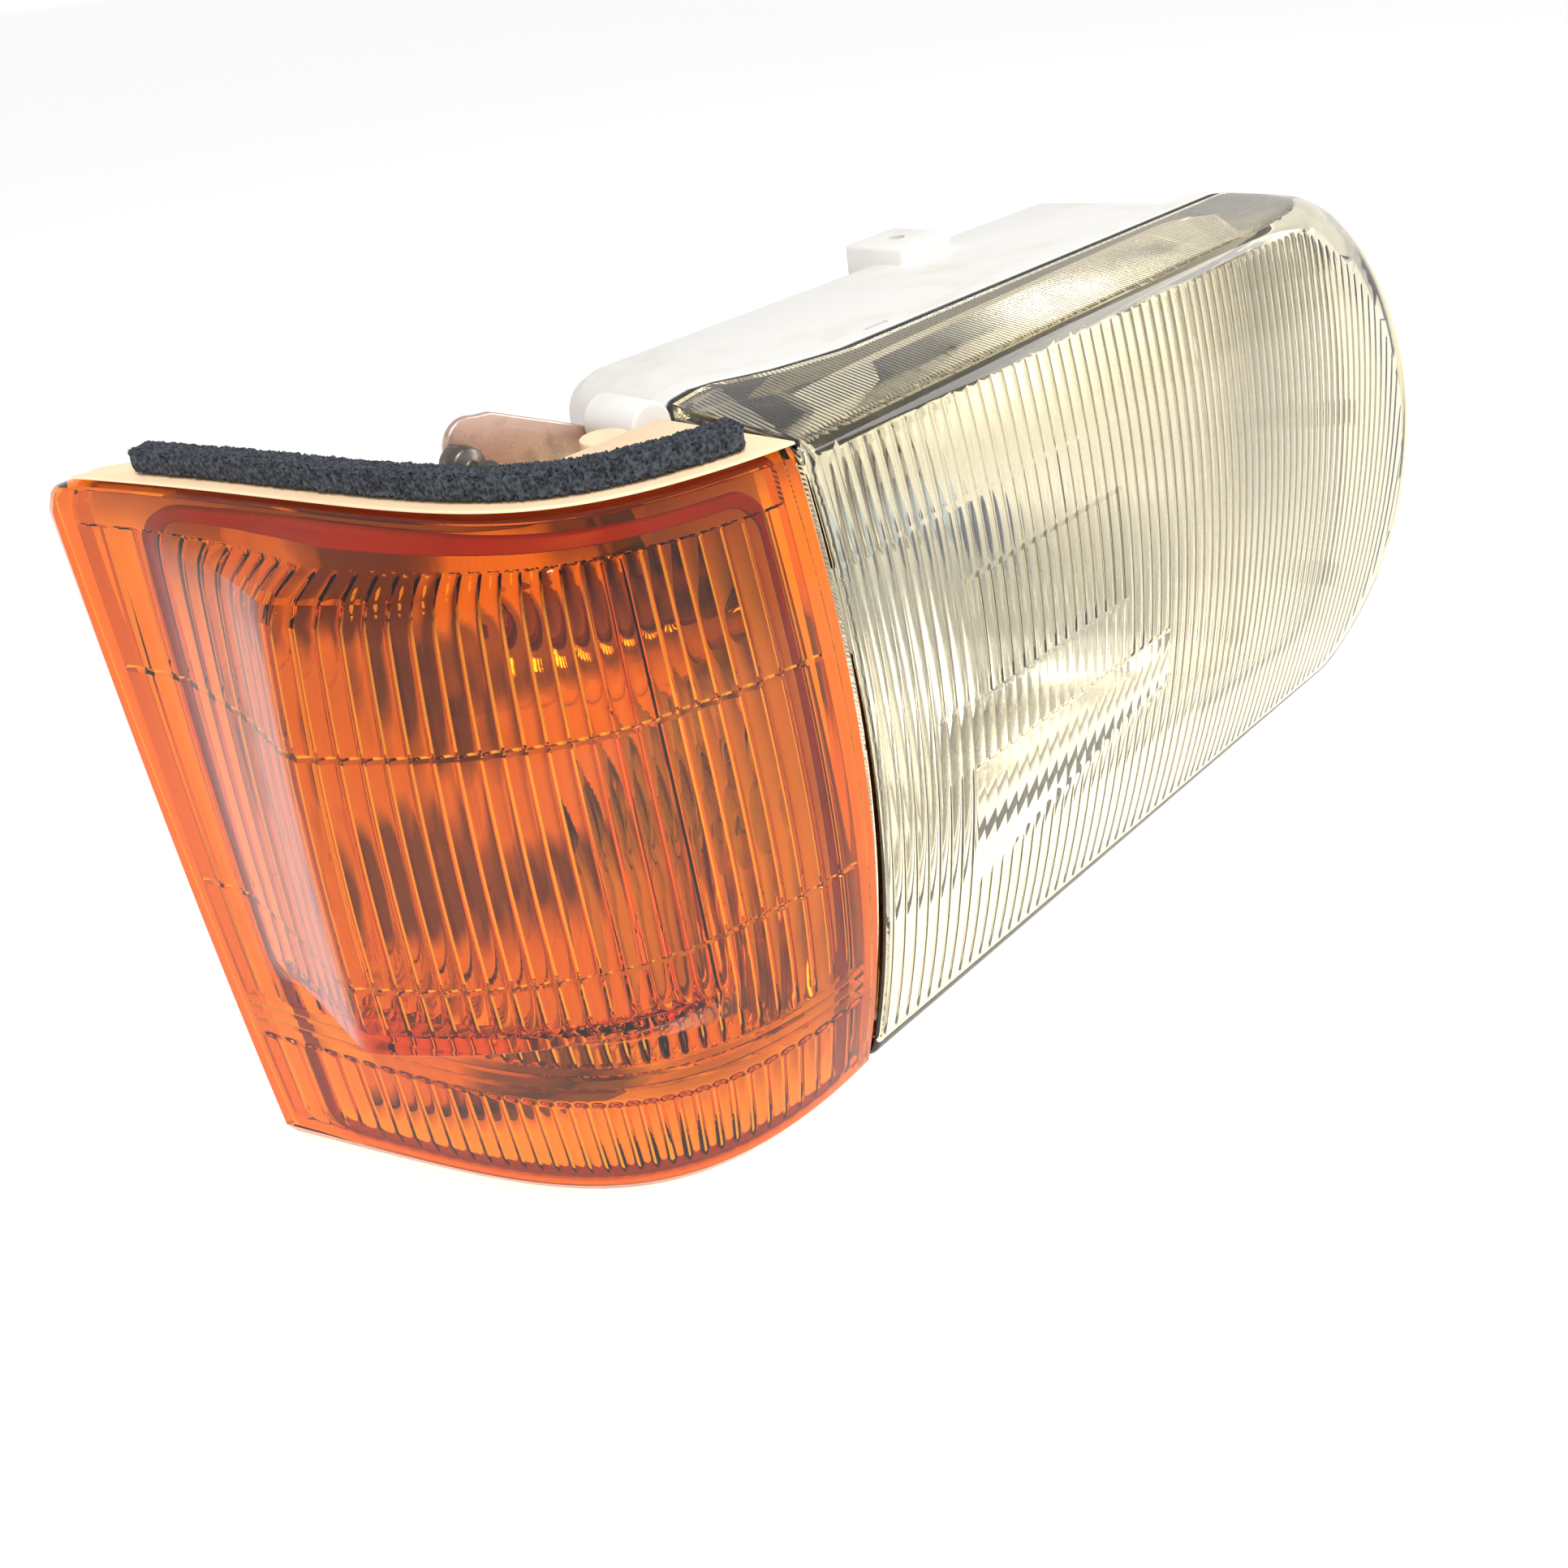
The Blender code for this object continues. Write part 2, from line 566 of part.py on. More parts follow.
def suspension(steel, nylon):
    """Fixed ball, nylon cup, two adjusting screws with their nuts and wall bushes."""
    px, py, pz = PIVOT
    stud = [(0.0, -5.0)] + ball_profile(5.0, -4.7, 4.2)[:-1] + [(2.7, 4.21)]
    stud += [(2.7, 22.0), (5.5, 22.0), (5.5, 28.7), (0.0, 28.7)]
    turned("pivot_stud", stud, PIVOT, steel, sides=16)
    cup = [(0.0, -7.4)] + ball_profile(7.4, -7.0, 2.6) + ball_profile(5.35, -4.9, 2.6)[::-1] + [(0.0, -5.35)]
    turned("pivot_cup", cup, PIVOT, nylon, sides=16)
    places = (("vertical", px, pz - LEVER_DOWN), ("horizontal", px + LEVER_ACROSS, pz))
    for name, x, z in places:
        nut = [(3.1, 68.0), (3.9, 68.0), (3.9, 74.9), (7.0, 74.9), (7.0, 83.0), (3.1, 83.0)]
        turned(name + "_nut", nut, (x, 0, z), nylon, sides=16)
        bush = [(2.4, 105.0), (4.6, 105.0), (4.6, 112.4), (8.0, 112.4), (8.0, 115.4), (2.4, 115.4)]
        turned(name + "_bush", bush, (x, 0, z), nylon, sides=16)
        screw = [(0, 57.0), (1.2, 57.0), (2.0, 58.5), (2.0, 115.8), (9.0, 115.8), (9.0, 124.0), (0, 124.0)]
        knob = turned(name + "_adjuster", screw, (x, 0, z), nylon, sides=16, origin=(x, py, z))
        slot = bar(name + "_slot", (x - 6.0, 121.0, z - 0.9), (x + 6.0, 127.0, z + 0.9), nylon)
        cut(knob, slot)


# ---------------------------------------------------------------- bulbs and their fittings


def main_bulb(glass, steel, tungsten):
    """Two-filament bulb with a three-pin base."""
    centre = (AXIS_X, 0, AXIS_Z)
    tube = [(0, 60.0), (3.5, 60.6), (6.5, 62.5), (8.2, 66.0), (8.2, 98.0), (7.3, 98.0), (7.3, 66.5),
            (5.9, 63.5), (3.2, 61.6), (0, 61.1)]
    turned("headlamp_bulb_glass", tube, centre, glass, sides=16)
    base = [(0, 98.4), (11.0, 98.4), (14.5, 101.0), (14.5, 108.4), (21.5, 108.4), (21.5, 110.0),
            (10.5, 110.0), (10.5, 115.5), (0, 115.5)]
    body = turned("headlamp_bulb_base", base, centre, steel, sides=24)
    fuse(body, bar("pin_top", (AXIS_X - 4.0, 112.0, 84.0), (AXIS_X + 4.0, 124.0, 85.0), steel))
    for side in (-1, 1):
        x = AXIS_X + side * 8.5
        fuse(body, bar("pin_%d" % (side + 2), (x - 0.5, 112.0, 70.0), (x + 0.5, 124.0, 78.0), steel))
    shield = [(0, 68.0), (4.6, 68.0), (4.6, 68.5), (0, 68.5)]
    turned("bulb_shield", shield, centre, steel, sides=12)
    coil = [(0, 72.0), (1.1, 72.0), (1.1, 77.0), (0, 77.0)]
    turned("main_filament", coil, (AXIS_X, 0, AXIS_Z - 2.0), tungsten, sides=8)
    turned("dipped_filament", coil, (AXIS_X, 7.0, AXIS_Z + 2.0), tungsten, sides=8)


def bulb_clip(steel):
    """Wire clip that presses the bulb's flange home, hinged along its top."""
    arm = AXIS_X - 17.0
    path = [(arm, 111.4, 61.0), (arm, 111.4, 94.0), (arm, *CLIP_HINGE)]
    loops = path + [(2 * AXIS_X - x, y, z) for x, y, z in reversed(path)]
    clip = wire("bulb_clip", loops, 0.9, steel, origin=(AXIS_X, *CLIP_HINGE))
    pivot = [(0, AXIS_X - 25), (0.95, AXIS_X - 25), (0.95, AXIS_X + 25), (0, AXIS_X + 25)]
    return fuse(clip, turned("clip_pivot", pivot, (0, *CLIP_HINGE), steel, axis="X", sides=8))


def parking_light(plastic, glass, steel):
    """Small bulb in a twist-in holder below the main bulb."""
    base = parking_axis()
    y = VERTEX_Y - 2 * PARKING_STEP ** 2 / (4 * FOCAL) + 2.0
    holder = [(0, y - 3), (5.5, y - 3), (5.5, y + 6), (6.8, y + 6), (6.8, y + 9), (6.0, y + 9),
              (6.0, y + 15), (0, y + 15)]
    body = turned("parking_holder", holder, base, plastic, sides=16)
    x, _, z = base
    fuse(body, bar("parking_wing", (x - 7.5, y + 13.0, z - 1.2), (x + 7.5, y + 20.0, z + 1.2), plastic))
    socket = [(0, y - 10), (3.4, y - 10), (3.4, y - 1), (0, y - 1)]
    cut(body, turned("parking_socket", socket, base, plastic, sides=12))
    bulb = [(0, y - 22), (2.6, y - 21), (4.2, y - 18), (4.2, y - 13), (2.9, y - 8), (2.9, y - 4),
            (2.3, y - 4), (2.3, y - 8), (3.5, y - 13), (3.5, y - 18), (2.2, y - 20), (0, y - 21)]
    turned("parking_bulb", bulb, base, glass, sides=12)


def rear_cap(plastic, rubber):
    """Bayonet cap over the bulb, with its sealing ring."""
    centre = (AXIS_X, 0, AXIS_Z)
    skirt = [(0, 154.5), (38.0, 154.5), (43.5, 150.0), (43.5, 128.6), (49.9, 128.6), (49.9, 117.6),
             (47.2, 117.6), (47.2, 115.0), (52.0, 115.0), (52.0, 131.0), (46.0, 133.0), (46.0, 151.0),
             (39.0, 157.0), (0, 157.0)]
    cap = turned("rear_cap", skirt, centre, plastic, sides=40, origin=(AXIS_X, REAR_Y, AXIS_Z))
    low = (AXIS_X - 30.0, 155.5, AXIS_Z - 4.0)
    high = (AXIS_X + 30.0, 162.0, AXIS_Z + 4.0)
    fuse(cap, bar("cap_grip", low, high, plastic))
    for i in range(3):
        angle = math.radians(90 + 120 * i)
        x = AXIS_X + NECK_R * math.cos(angle)
        z = AXIS_Z + NECK_R * math.sin(angle)
        gate = [(0, 110.0), (5.0, 110.0), (5.0, 119.0), (0, 119.0)]
        cut(cap, turned("cap_gate_%d" % (i + 1), gate, (x, 0, z), plastic, sides=8))
    gland = (AXIS_X, 0, AXIS_Z - 24.0)
    hole = [(0, 150.0), (5.5, 150.0), (5.5, 160.0), (0, 160.0)]
    cut(cap, turned("gland_hole", hole, gland, plastic, sides=16))
    grommet = [(2.6, 152.0), (7.0, 152.0), (7.0, 154.2), (5.2, 154.2), (5.2, 157.3), (7.0, 157.3),
               (6.4, 160.5), (2.6, 160.5)]
    turned("cable_gland", grommet, gland, rubber, sides=16)
    ring = [(42.9, 126.3), (46.0, 126.3), (46.0, 128.3), (42.9, 128.3)]
    turned("cap_seal", ring, centre, rubber, sides=32)


# ---------------------------------------------------------------- bracket and vent


def side_bracket(zinc):
    """Pressed plate behind the seam, carrying the ball that the corner lamp plugs on to."""
    outline = [(21.0, 117.0), (21.0, 135.0), (6.0, 143.0)]
    outline += [(-24.0, 156.0)] + arc(-30.0, 150.8, 6.0, 6.0, 70, 180, 4)
    outline += [(-38.0, 149.0), (-40.0, 138.0), (-34.0, 134.0), (-4.0, 124.0), (6.0, 117.0)]
    bracket = plate("side_bracket", outline[::-1], 60.0, 62.0, zinc, (0.0, 60.0, 140.0))
    for i, (x, z) in enumerate(BRACKET_SCREWS):
        hole = [(0, 50.0), (2.3, 50.0), (2.3, 70.0), (0, 70.0)]
        cut(bracket, turned("bracket_hole_%d" % (i + 1), hole, (x, 0, z), zinc, sides=12))
    return bracket


def bracket_fixings(steel):
    """Ball stud and the two screws of the bracket."""
    stud = [(0, -14.5), (1.5, -14.1), (2.5, -12.4), (2.6, -11.6), (2.1, -9.8), (1.5, -9.0), (1.5, -6.5),
            (3.9, -5.5), (4.3, -3.6), (3.9, -0.3), (0, -0.3)]
    turned("ball_stud", stud, STUD_BALL, steel, sides=16)
    for i, (x, z) in enumerate(BRACKET_SCREWS):
        head = [(0, 60.2), (1.9, 60.2), (1.9, 62.3), (3.8, 62.3), (3.6, 63.6), (2.4, 64.4), (0, 64.6)]
        turned("bracket_screw_%d" % (i + 1), head, (x, 0, z), steel, sides=12)


def vent_elbow(rubber):
    """Rubber breather on the rear wall."""
    elbow = [(0, 112.4), (7.0, 112.4), (7.0, 114.0), (4.5, 115.0), (4.5, 124.0), (0, 124.0)]
    vent = turned("vent_elbow", elbow, (212.0, 0, 60.0), rubber, sides=14)
    spout = [(0, 0.0), (4.4, 0.0), (4.4, -18.0), (0, -18.0)]
    fuse(vent, turned("vent_spout", spout, (212.0, 119.6, 60.0), rubber, axis="Z", sides=14))
    bore = [(0, -5.0), (2.6, -5.0), (2.6, -25.0), (0, -25.0)]
    return cut(vent, turned("vent_bore", bore, (212.0, 119.6, 60.0), rubber, axis="Z", sides=10))


# ---------------------------------------------------------------- corner lamp


def corner_lens(amber):
    """Amber tray that wraps round the wing, with a raised panel on its face."""
    levels = (0.0, 14.0, 30.0, PANEL_LOW, PANEL_LOW + 6.0, 75.0, 98.0, 120.0,
              PANEL_TOP - 8.0, PANEL_TOP - 4.0, PANEL_TOP, HEIGHT)
    wall = CORNER_WALL
    front = []
    back = []
    hollow_front = []
    hollow_back = []
    for z in levels:
        level = min(max(z + (wall if z < 75 else -wall), wall), HEIGHT - wall)
        inner = [0.025 + 0.955 * s for s in CORNER_SHARES]
        front.append([corner_face(s, z, 0.0, corner_panel(s, z)) for s in CORNER_SHARES])
        back.append([corner_face(s, z, 7.0) for s in CORNER_SHARES])
        hollow_front.append([corner_face(s, level, wall, corner_panel(s, level, wall)) for s in inner])
        hollow_back.append([corner_face(s, level, 16.0) for s in inner])
    hollow_front[-1] = [corner_face(s, HEIGHT - wall, wall) for s in inner]
    lens = sheet_solid("corner_lens", front, back, amber)
    return cut(lens, sheet_solid("corner_lens_hollow", hollow_front, hollow_back, amber))


def corner_housing(plastic):
    """Tray behind the amber lens: a lip over the lens's top edge, a bulb hole, a peg and a tab."""
    front = []
    back = []
    hollow_front = []
    hollow_back = []
    rows = [(z, z, 7.3) for z in shares(0.3, LIP_LOW, 9)]
    rows += [(LIP_LOW, (LIP_LOW + LIP_TOP) / 2, LIP_DEPTH), (LIP_TOP, LIP_TOP, LIP_DEPTH)]
    for z, back_z, depth in rows:
        front.append([corner_face(s, z, depth) for s in CORNER_SHARES])
        back.append([corner_wall(s, back_z) for s in CORNER_SHARES])
    for z in shares(2.8, HEIGHT - 2.8, 9):
        hollow_front.append([corner_face(s, z, 4.0) for s in shares(0.03, 0.975, 13)])
        hollow_back.append([corner_wall(s, z, 2.4) for s in shares(0.06, 0.94, 13)])
    body = sheet_solid("corner_housing", front, back, plastic)
    peg = [(0, 42.0), (3.6, 42.0), (3.6, 66.0), (2.4, 70.0), (0, 70.0)]
    fuse(body, turned("corner_peg", peg, (-46.0, 0, 148.5 - 3.6), plastic, sides=12))
    tab = [(0, -2.4), (5.0, -2.4), (5.0, 0.4), (0, 0.4)]
    fuse(body, turned("corner_tab", tab, (-13.0, 40.0, HEIGHT), plastic, axis="Z", sides=16))
    pad = [(0, 35.6), (17.0, 35.6), (17.0, 41.5), (0, 41.5)]
    fuse(body, turned("socket_pad", pad, CORNER_BULB, plastic, sides=24))
    cut(body, sheet_solid("corner_hollow", hollow_front, hollow_back, plastic))
    bore = [(0, 20.0), (12.0, 20.0), (12.0, 80.0), (0, 80.0)]
    return cut(body, turned("corner_bore", bore, CORNER_BULB, plastic, sides=24))


def foam_strip(foam):
    """Sealing strip along the top of the corner lamp."""
    low = []
    high = []
    for depth in FOAM_DEPTHS:
        line = [corner_face(s, HEIGHT, depth)[:2] for s in shares(FOAM_SHARES[0], FOAM_SHARES[1], 15)]
        low.append([place + (HEIGHT + 1.0,) for place in line])
        high.append([place + (HEIGHT + 6.6,) for place in line])
    return sheet_solid("foam_strip", low, high, foam)


def corner_light(plastic, rubber, glass, steel, tungsten):
    """Bulb, twist-in socket, its seal and the two blades of its inlet."""
    base = CORNER_BULB
    socket = [(0, 33.0), (10.5, 33.0), (10.5, 44.5), (15.0, 44.5), (15.0, 47.5), (11.5, 47.5),
              (11.5, 60.0), (0, 60.0)]
    body = turned("corner_socket", socket, base, plastic, sides=20)
    well = [(0, 30.0), (7.9, 30.0), (7.9, 44.0), (0, 44.0)]
    cut(body, turned("corner_well", well, base, plastic, sides=16))
    mouth = bar("corner_mouth", (-30.0, 50.0, 70.0), (-18.0, 70.0, 80.0), plastic)
    cut(body, mouth)
    base_cup = [(0, 26.0), (7.5, 26.0), (7.5, 43.6), (0, 43.6)]
    turned("corner_bulb_base", base_cup, base, steel, sides=16)
    bulb = [(0, 3.0), (5.5, 4.5), (8.6, 8.5), (8.9, 13.0), (6.6, 20.0), (6.6, 25.6), (5.9, 25.6),
            (5.9, 20.0), (8.2, 13.0), (7.9, 9.0), (5.0, 5.2), (0, 3.9)]
    turned("corner_bulb_glass", bulb, base, glass, sides=16)
    coil = [(0, 10.0), (0.9, 10.0), (0.9, 15.0), (0, 15.0)]
    turned("corner_filament", coil, base, tungsten, sides=8)
    ring = [(11.9, 41.8), (15.0, 41.8), (15.0, 44.2), (11.9, 44.2)]
    turned("socket_seal", ring, base, rubber, sides=20)
    for i, x in enumerate((-27.0, -21.0)):
        bar("corner_terminal_%d" % (i + 1), (x - 0.4, 50.3, 72.0), (x + 0.4, 58.0, 78.0), steel)


def corner_reflector(silver):
    """Bright liner standing off the inside of the corner housing."""
    front = []
    back = []
    for z in shares(8.0, 142.0, 7):
        front.append([corner_wall(s, z, 5.2) for s in shares(0.10, 0.90, 11)])
        back.append([corner_wall(s, z, 3.7) for s in shares(0.10, 0.90, 11)])
    liner = sheet_solid("corner_reflector", front, back, silver)
    bore = [(0, 10.0), (12.5, 10.0), (12.5, 80.0), (0, 80.0)]
    return cut(liner, turned("liner_bore", bore, CORNER_BULB, silver, sides=20))


def snap_fork(nylon):
    """Open fork behind the corner lamp that the ball slides into."""
    x, _, z = STUD_BALL
    fork = bar("snap_fork", (x - 6.0, 46.4, z - 10.0), (x + 6.0, 53.0, z - 0.5), nylon, (x, 50.0, z))
    groove = [(0, 40.0), (3.1, 40.0), (3.1, 60.0), (0, 60.0)]
    return cut(fork, turned("fork_groove", groove, (x, 0, z), nylon, sides=16))


# ---------------------------------------------------------------- assembly


def place_on_floor():
    """Move everything so that the origin is the middle of the footprint."""
    for obj in bpy.data.objects:
        obj.location -= Vector((CENTRE_X, CENTRE_Y, 0.0)) * MM


def main():
    for obj in list(bpy.data.objects):
        bpy.data.objects.remove(obj, do_unlink=True)
    glass = material("clear_glass", (0.90, 0.89, 0.82), 0.05, clear=1.0)
    amber = material("amber_acrylic", (0.85, 0.24, 0.02), 0.08, clear=0.6)
    white = material("white_plastic", (0.80, 0.79, 0.76), 0.45)
    cream = material("cream_plastic", (0.86, 0.66, 0.44), 0.45)
    rubber = material("black_rubber", (0.02, 0.02, 0.02), 0.7)
    foam = material("black_foam", (0.03, 0.03, 0.04), 0.95)
    silver = material("aluminised_plastic", (0.80, 0.81, 0.83), 0.12, 1.0)
    steel = material("plated_steel", (0.62, 0.60, 0.55), 0.3, 1.0)
    zinc = material("bracket_steel", (0.42, 0.32, 0.28), 0.4, 1.0)
    nylon = material("white_nylon", (0.75, 0.74, 0.70), 0.4)
    tungsten = material("tungsten", (0.35, 0.34, 0.33), 0.4, 1.0)
    headlamp_lens(glass)
    lens_seal(rubber)
    headlamp_housing(white)
    lens_clips(steel)
    reflector(silver)
    suspension(steel, nylon)
    main_bulb(glass, steel, tungsten)
    bulb_clip(steel)
    parking_light(nylon, glass, steel)
    rear_cap(white, rubber)
    side_bracket(zinc)
    bracket_fixings(steel)
    vent_elbow(rubber)
    corner_lens(amber)
    corner_housing(cream)
    foam_strip(foam)
    corner_light(nylon, rubber, glass, steel, tungsten)
    corner_reflector(silver)
    snap_fork(nylon)
    for obj in bpy.data.objects:
        obj.data.shade_smooth()
        obj.data.set_sharp_from_angle(angle=math.radians(30.0))
    place_on_floor()


main()
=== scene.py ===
"""Looks of the car headlamp: pressed glass, amber lens, plastics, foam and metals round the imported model."""
import json
import math
import bpy
import numpy as np
from mathutils import Matrix, Vector, noise


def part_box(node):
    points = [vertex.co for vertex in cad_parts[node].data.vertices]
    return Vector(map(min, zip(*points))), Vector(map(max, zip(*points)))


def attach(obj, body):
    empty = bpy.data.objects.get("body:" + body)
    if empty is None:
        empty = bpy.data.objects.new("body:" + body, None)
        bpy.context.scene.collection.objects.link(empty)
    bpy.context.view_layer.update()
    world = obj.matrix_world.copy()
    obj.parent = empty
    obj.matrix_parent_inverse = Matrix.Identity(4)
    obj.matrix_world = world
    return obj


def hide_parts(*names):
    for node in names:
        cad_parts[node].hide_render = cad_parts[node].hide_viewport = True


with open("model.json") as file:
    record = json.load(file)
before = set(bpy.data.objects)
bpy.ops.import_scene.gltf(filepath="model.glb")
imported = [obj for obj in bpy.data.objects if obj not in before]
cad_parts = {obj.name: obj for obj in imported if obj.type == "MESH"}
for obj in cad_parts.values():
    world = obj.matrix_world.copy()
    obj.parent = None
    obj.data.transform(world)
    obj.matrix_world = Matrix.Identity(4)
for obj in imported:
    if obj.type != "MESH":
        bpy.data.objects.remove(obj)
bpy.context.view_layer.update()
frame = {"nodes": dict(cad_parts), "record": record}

MM = 0.001
HEIGHT = 150.0                 # lens height, in mm as all sizes of the lamp below
BULGE = 10.0                   # how far the faces swell forward at mid height
SEAM_ROUND = 1.4               # rounding of the lens's face along the seam
EDGE_ROUND = 4.0               # the same along its top and bottom
SEAM = 0.6                     # half of the gap between the two lamps
LENS_WALL = 3.0
RIM_LINE = ((8.0, 43.0), (20.0, 46.0), (34.0, 38.5), (52.0, 34.0))
TOP_CORNER = (52.0, 100.0)     # half axes of the inboard top corner, seen along Y
CREASE_CORNER = (95.0, 100.0)  # the same where the face starts to fall back
LOW_CORNER = (36.0, 50.0)      # half axes of the inboard lower corner
INNER_END = 262.0
END_ROUND = 12.0               # rounding of the inner end
END_DROP = 10.0                # how much further it falls back at the inboard top corner
AXIS_X = 120.0                 # optical axis of the headlamp
AXIS_Z = 75.0
FOCAL = 28.0
VERTEX_Y = 107.0
REAR_Y = 112.0
NECK_R = 46.0
PIVOT = (42.0, 80.0, 124.0)
LEVER_DOWN = 75.0
LEVER_ACROSS = 152.0
BULB_AXIS = (AXIS_X, 0, AXIS_Z)
CORNER_BULB = (-24.0, 0, 75.0)
STUD_BALL = (-35.0, 60.0, 149.0)
BRACKET_SCREW_X = 13.5
BRACKET_SCREW_Z = (133.0, 122.0)
VENT = (212.0, 0, 60.0)
ADJUSTERS = {"vertical": (PIVOT[0], 0, PIVOT[2] - LEVER_DOWN),
             "horizontal": (PIVOT[0] + LEVER_ACROSS, 0, PIVOT[2])}
CORNER_STEPS = 3               # pieces in each rounded corner of a turned profile

# the lamp's own frame starts at the seam's lower front corner: the lens's outboard side is half a
# seam from it, and the bracket's flat front lies a known way behind it
BRACKET_FRONT = 60.0
ORIGIN = Vector((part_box("headlamp_lens")[0].x / MM - SEAM,
                 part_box("side_bracket")[0].y / MM - BRACKET_FRONT, 0.0))


# ---------------- making pieces


def placed(name, data):
    """A new object in the scene."""
    obj = bpy.data.objects.new(name, data)
    bpy.context.scene.collection.objects.link(obj)
    return obj


def solid(name, points, faces, mat):
    """One closed body from points in mm."""
    mesh = bpy.data.meshes.new(name)
    mesh.from_pydata([(Vector(p) + ORIGIN) * MM for p in points], [], faces)
    mesh.materials.append(mat)
    if signed_volume(mesh) < 0:
        mesh.flip_normals()
    return placed(name, mesh)


def signed_volume(mesh):
    """Volume from summed tetrahedra, negative when the faces look inward."""
    mesh.calc_loop_triangles()
    co = np.empty(len(mesh.vertices) * 3)
    mesh.vertices.foreach_get("co", co)
    co = co.reshape(-1, 3)
    tri = np.empty(len(mesh.loop_triangles) * 3, np.int32)
    mesh.loop_triangles.foreach_get("vertices", tri)
    a, b, c = co[tri.reshape(-1, 3)].transpose(1, 0, 2)
    return float(np.einsum("ij,ij->i", a, np.cross(b, c)).sum())


def settle(obj):
    """Make an object's modifiers part of its mesh."""
    bpy.context.view_layer.update()
    graph = bpy.context.evaluated_depsgraph_get()
    mesh = bpy.data.meshes.new_from_object(obj.evaluated_get(graph))
    obj.modifiers.clear()
    obj.data = mesh
    return obj


def boolean(target, tool, operation, solver="EXACT"):
    """Combine a body with another one, which is used up."""
    mod = target.modifiers.new(tool.name, "BOOLEAN")
    mod.operation = operation
    mod.solver = solver
    mod.object = tool
    settle(target)
    bpy.data.objects.remove(tool)
    return target


def cut(target, tool, solver="EXACT"):
    """Take a tool's shape away from a body."""
    return boolean(target, tool, "DIFFERENCE", solver)


def fuse(target, tool):
    """Join a tool's shape to a body."""
    return boolean(target, tool, "UNION")


def soften(obj, width, segments=3, angle=40.0):
    """Round an object's edges."""
    mod = obj.modifiers.new("edges", "BEVEL")
    mod.width = width * MM
    mod.segments = segments
    mod.limit_method = "ANGLE"
    mod.angle_limit = math.radians(angle)
    return settle(obj)


def show(obj, body, slot, *nodes, angle=34.0):
    """Shade a finished piece and hand it to the frame."""
    obj.data.shade_smooth()
    obj.data.set_sharp_from_angle(angle=math.radians(angle))
    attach(obj, body)
    if nodes:
        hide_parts(*nodes)
    return obj


def sheet_solid(name, front, back, mat):
    """A body between two sheets of points with the same rows and columns."""
    rows = len(front)
    cols = len(front[0])
    size = rows * cols
    points = [p for row in front for p in row] + [p for row in back for p in row]
    faces = []
    for r in range(rows - 1):
        for c in range(cols - 1):
            a = r * cols + c
            faces.append((a, a + 1, a + cols + 1, a + cols))
            faces.append((size + a, size + a + cols, size + a + cols + 1, size + a + 1))
    border = list(range(cols))
    border += [r * cols + cols - 1 for r in range(1, rows)]
    border += [(rows - 1) * cols + c for c in range(cols - 2, -1, -1)]
    border += [r * cols for r in range(rows - 2, 0, -1)]
    for i, a in enumerate(border):
        b = border[(i + 1) % len(border)]
        faces.append((b, a, size + a, size + b))
    return solid(name, points, faces, mat)


def ring_solid(name, rings, mat, closed=False):
    """A body skinned over loops of equal length; closed makes a tube of it."""
    count = len(rings[0])
    points = [p for ring in rings for p in ring]
    faces = []
    last = len(rings) if closed else len(rings) - 1
    for k in range(last):
        a0 = k * count
        b0 = ((k + 1) % len(rings)) * count
        for i in range(count):
            j = (i + 1) % count
            faces.append((a0 + i, a0 + j, b0 + j, b0 + i))
    if not closed:
        faces.append(tuple(range(count - 1, -1, -1)))
        faces.append(tuple((len(rings) - 1) * count + i for i in range(count)))
    return solid(name, points, faces, mat)


def eased(profile, radius):
    """A polyline of (radius, height) pairs with its corners rounded."""
    closed = profile[0][0] > 1e-6
    out = []
    count = len(profile)
    for i, here in enumerate(profile):
        if not closed and i in (0, count - 1):
            out.append(here)
            continue
        here = Vector(here)
        before = Vector(profile[i - 1]) - here
        after = Vector(profile[(i + 1) % count]) - here
        reach = min(radius, before.length * 0.45, after.length * 0.45)
        a = here + before.normalized() * reach
        b = here + after.normalized() * reach
        for k in range(CORNER_STEPS + 1):
            t = k / CORNER_STEPS
            place = a * (1 - t) ** 2 + here * 2 * t * (1 - t) + b * t * t
            out.append((max(place.x, 0.0), place.y))
    return out


def turned(name, profile, base, mat, axis="Y", sides=64, radius=0.4, wave=None):
    """A profile of (radius, height) pairs turned about an axis, its corners rounded.
    wave gives a factor on the radius by angle and pair."""
    along = Vector()
    side = Vector()
    along["XYZ".index(axis)] = 1
    side["ZXY".index(axis)] = 1
    other = along.cross(side)
    if radius:
        profile = eased(profile, radius)
    points = []
    rows = []
    for reach, height in profile:
        centre = Vector(base) + along * height
        if reach < 1e-6:
            rows.append([len(points)] * sides)
            points.append(centre)
            continue
        rows.append([len(points) + i for i in range(sides)])
        for i in range(sides):
            angle = 2 * math.pi * (i + 0.5) / sides
            size = reach * (wave(angle, reach, height) if wave else 1.0)
            points.append(centre + size * (side * math.cos(angle) + other * math.sin(angle)))
    faces = []
    pairs = list(zip(rows, rows[1:]))
    if profile[0][0] > 1e-6:
        pairs.append((rows[-1], rows[0]))
    for low, high in pairs:
        for i in range(sides):
            j = (i + 1) % sides
            face = tuple(dict.fromkeys((low[i], low[j], high[j], high[i])))
            if len(face) > 2:
                faces.append(face)
    return solid(name, points, faces, mat)


def rod(name, reach, low, high, base, mat, **options):
    """A plain cylinder between two heights; its options are those of turned."""
    return turned(name, [(0, low), (reach, low), (reach, high), (0, high)], base, mat, **options)


def bore(target, reach, low, high, base, **options):
    """Cut a round hole between two heights."""
    return cut(target, rod("bore", reach, low, high, base, target.data.materials[0], radius=0, **options))


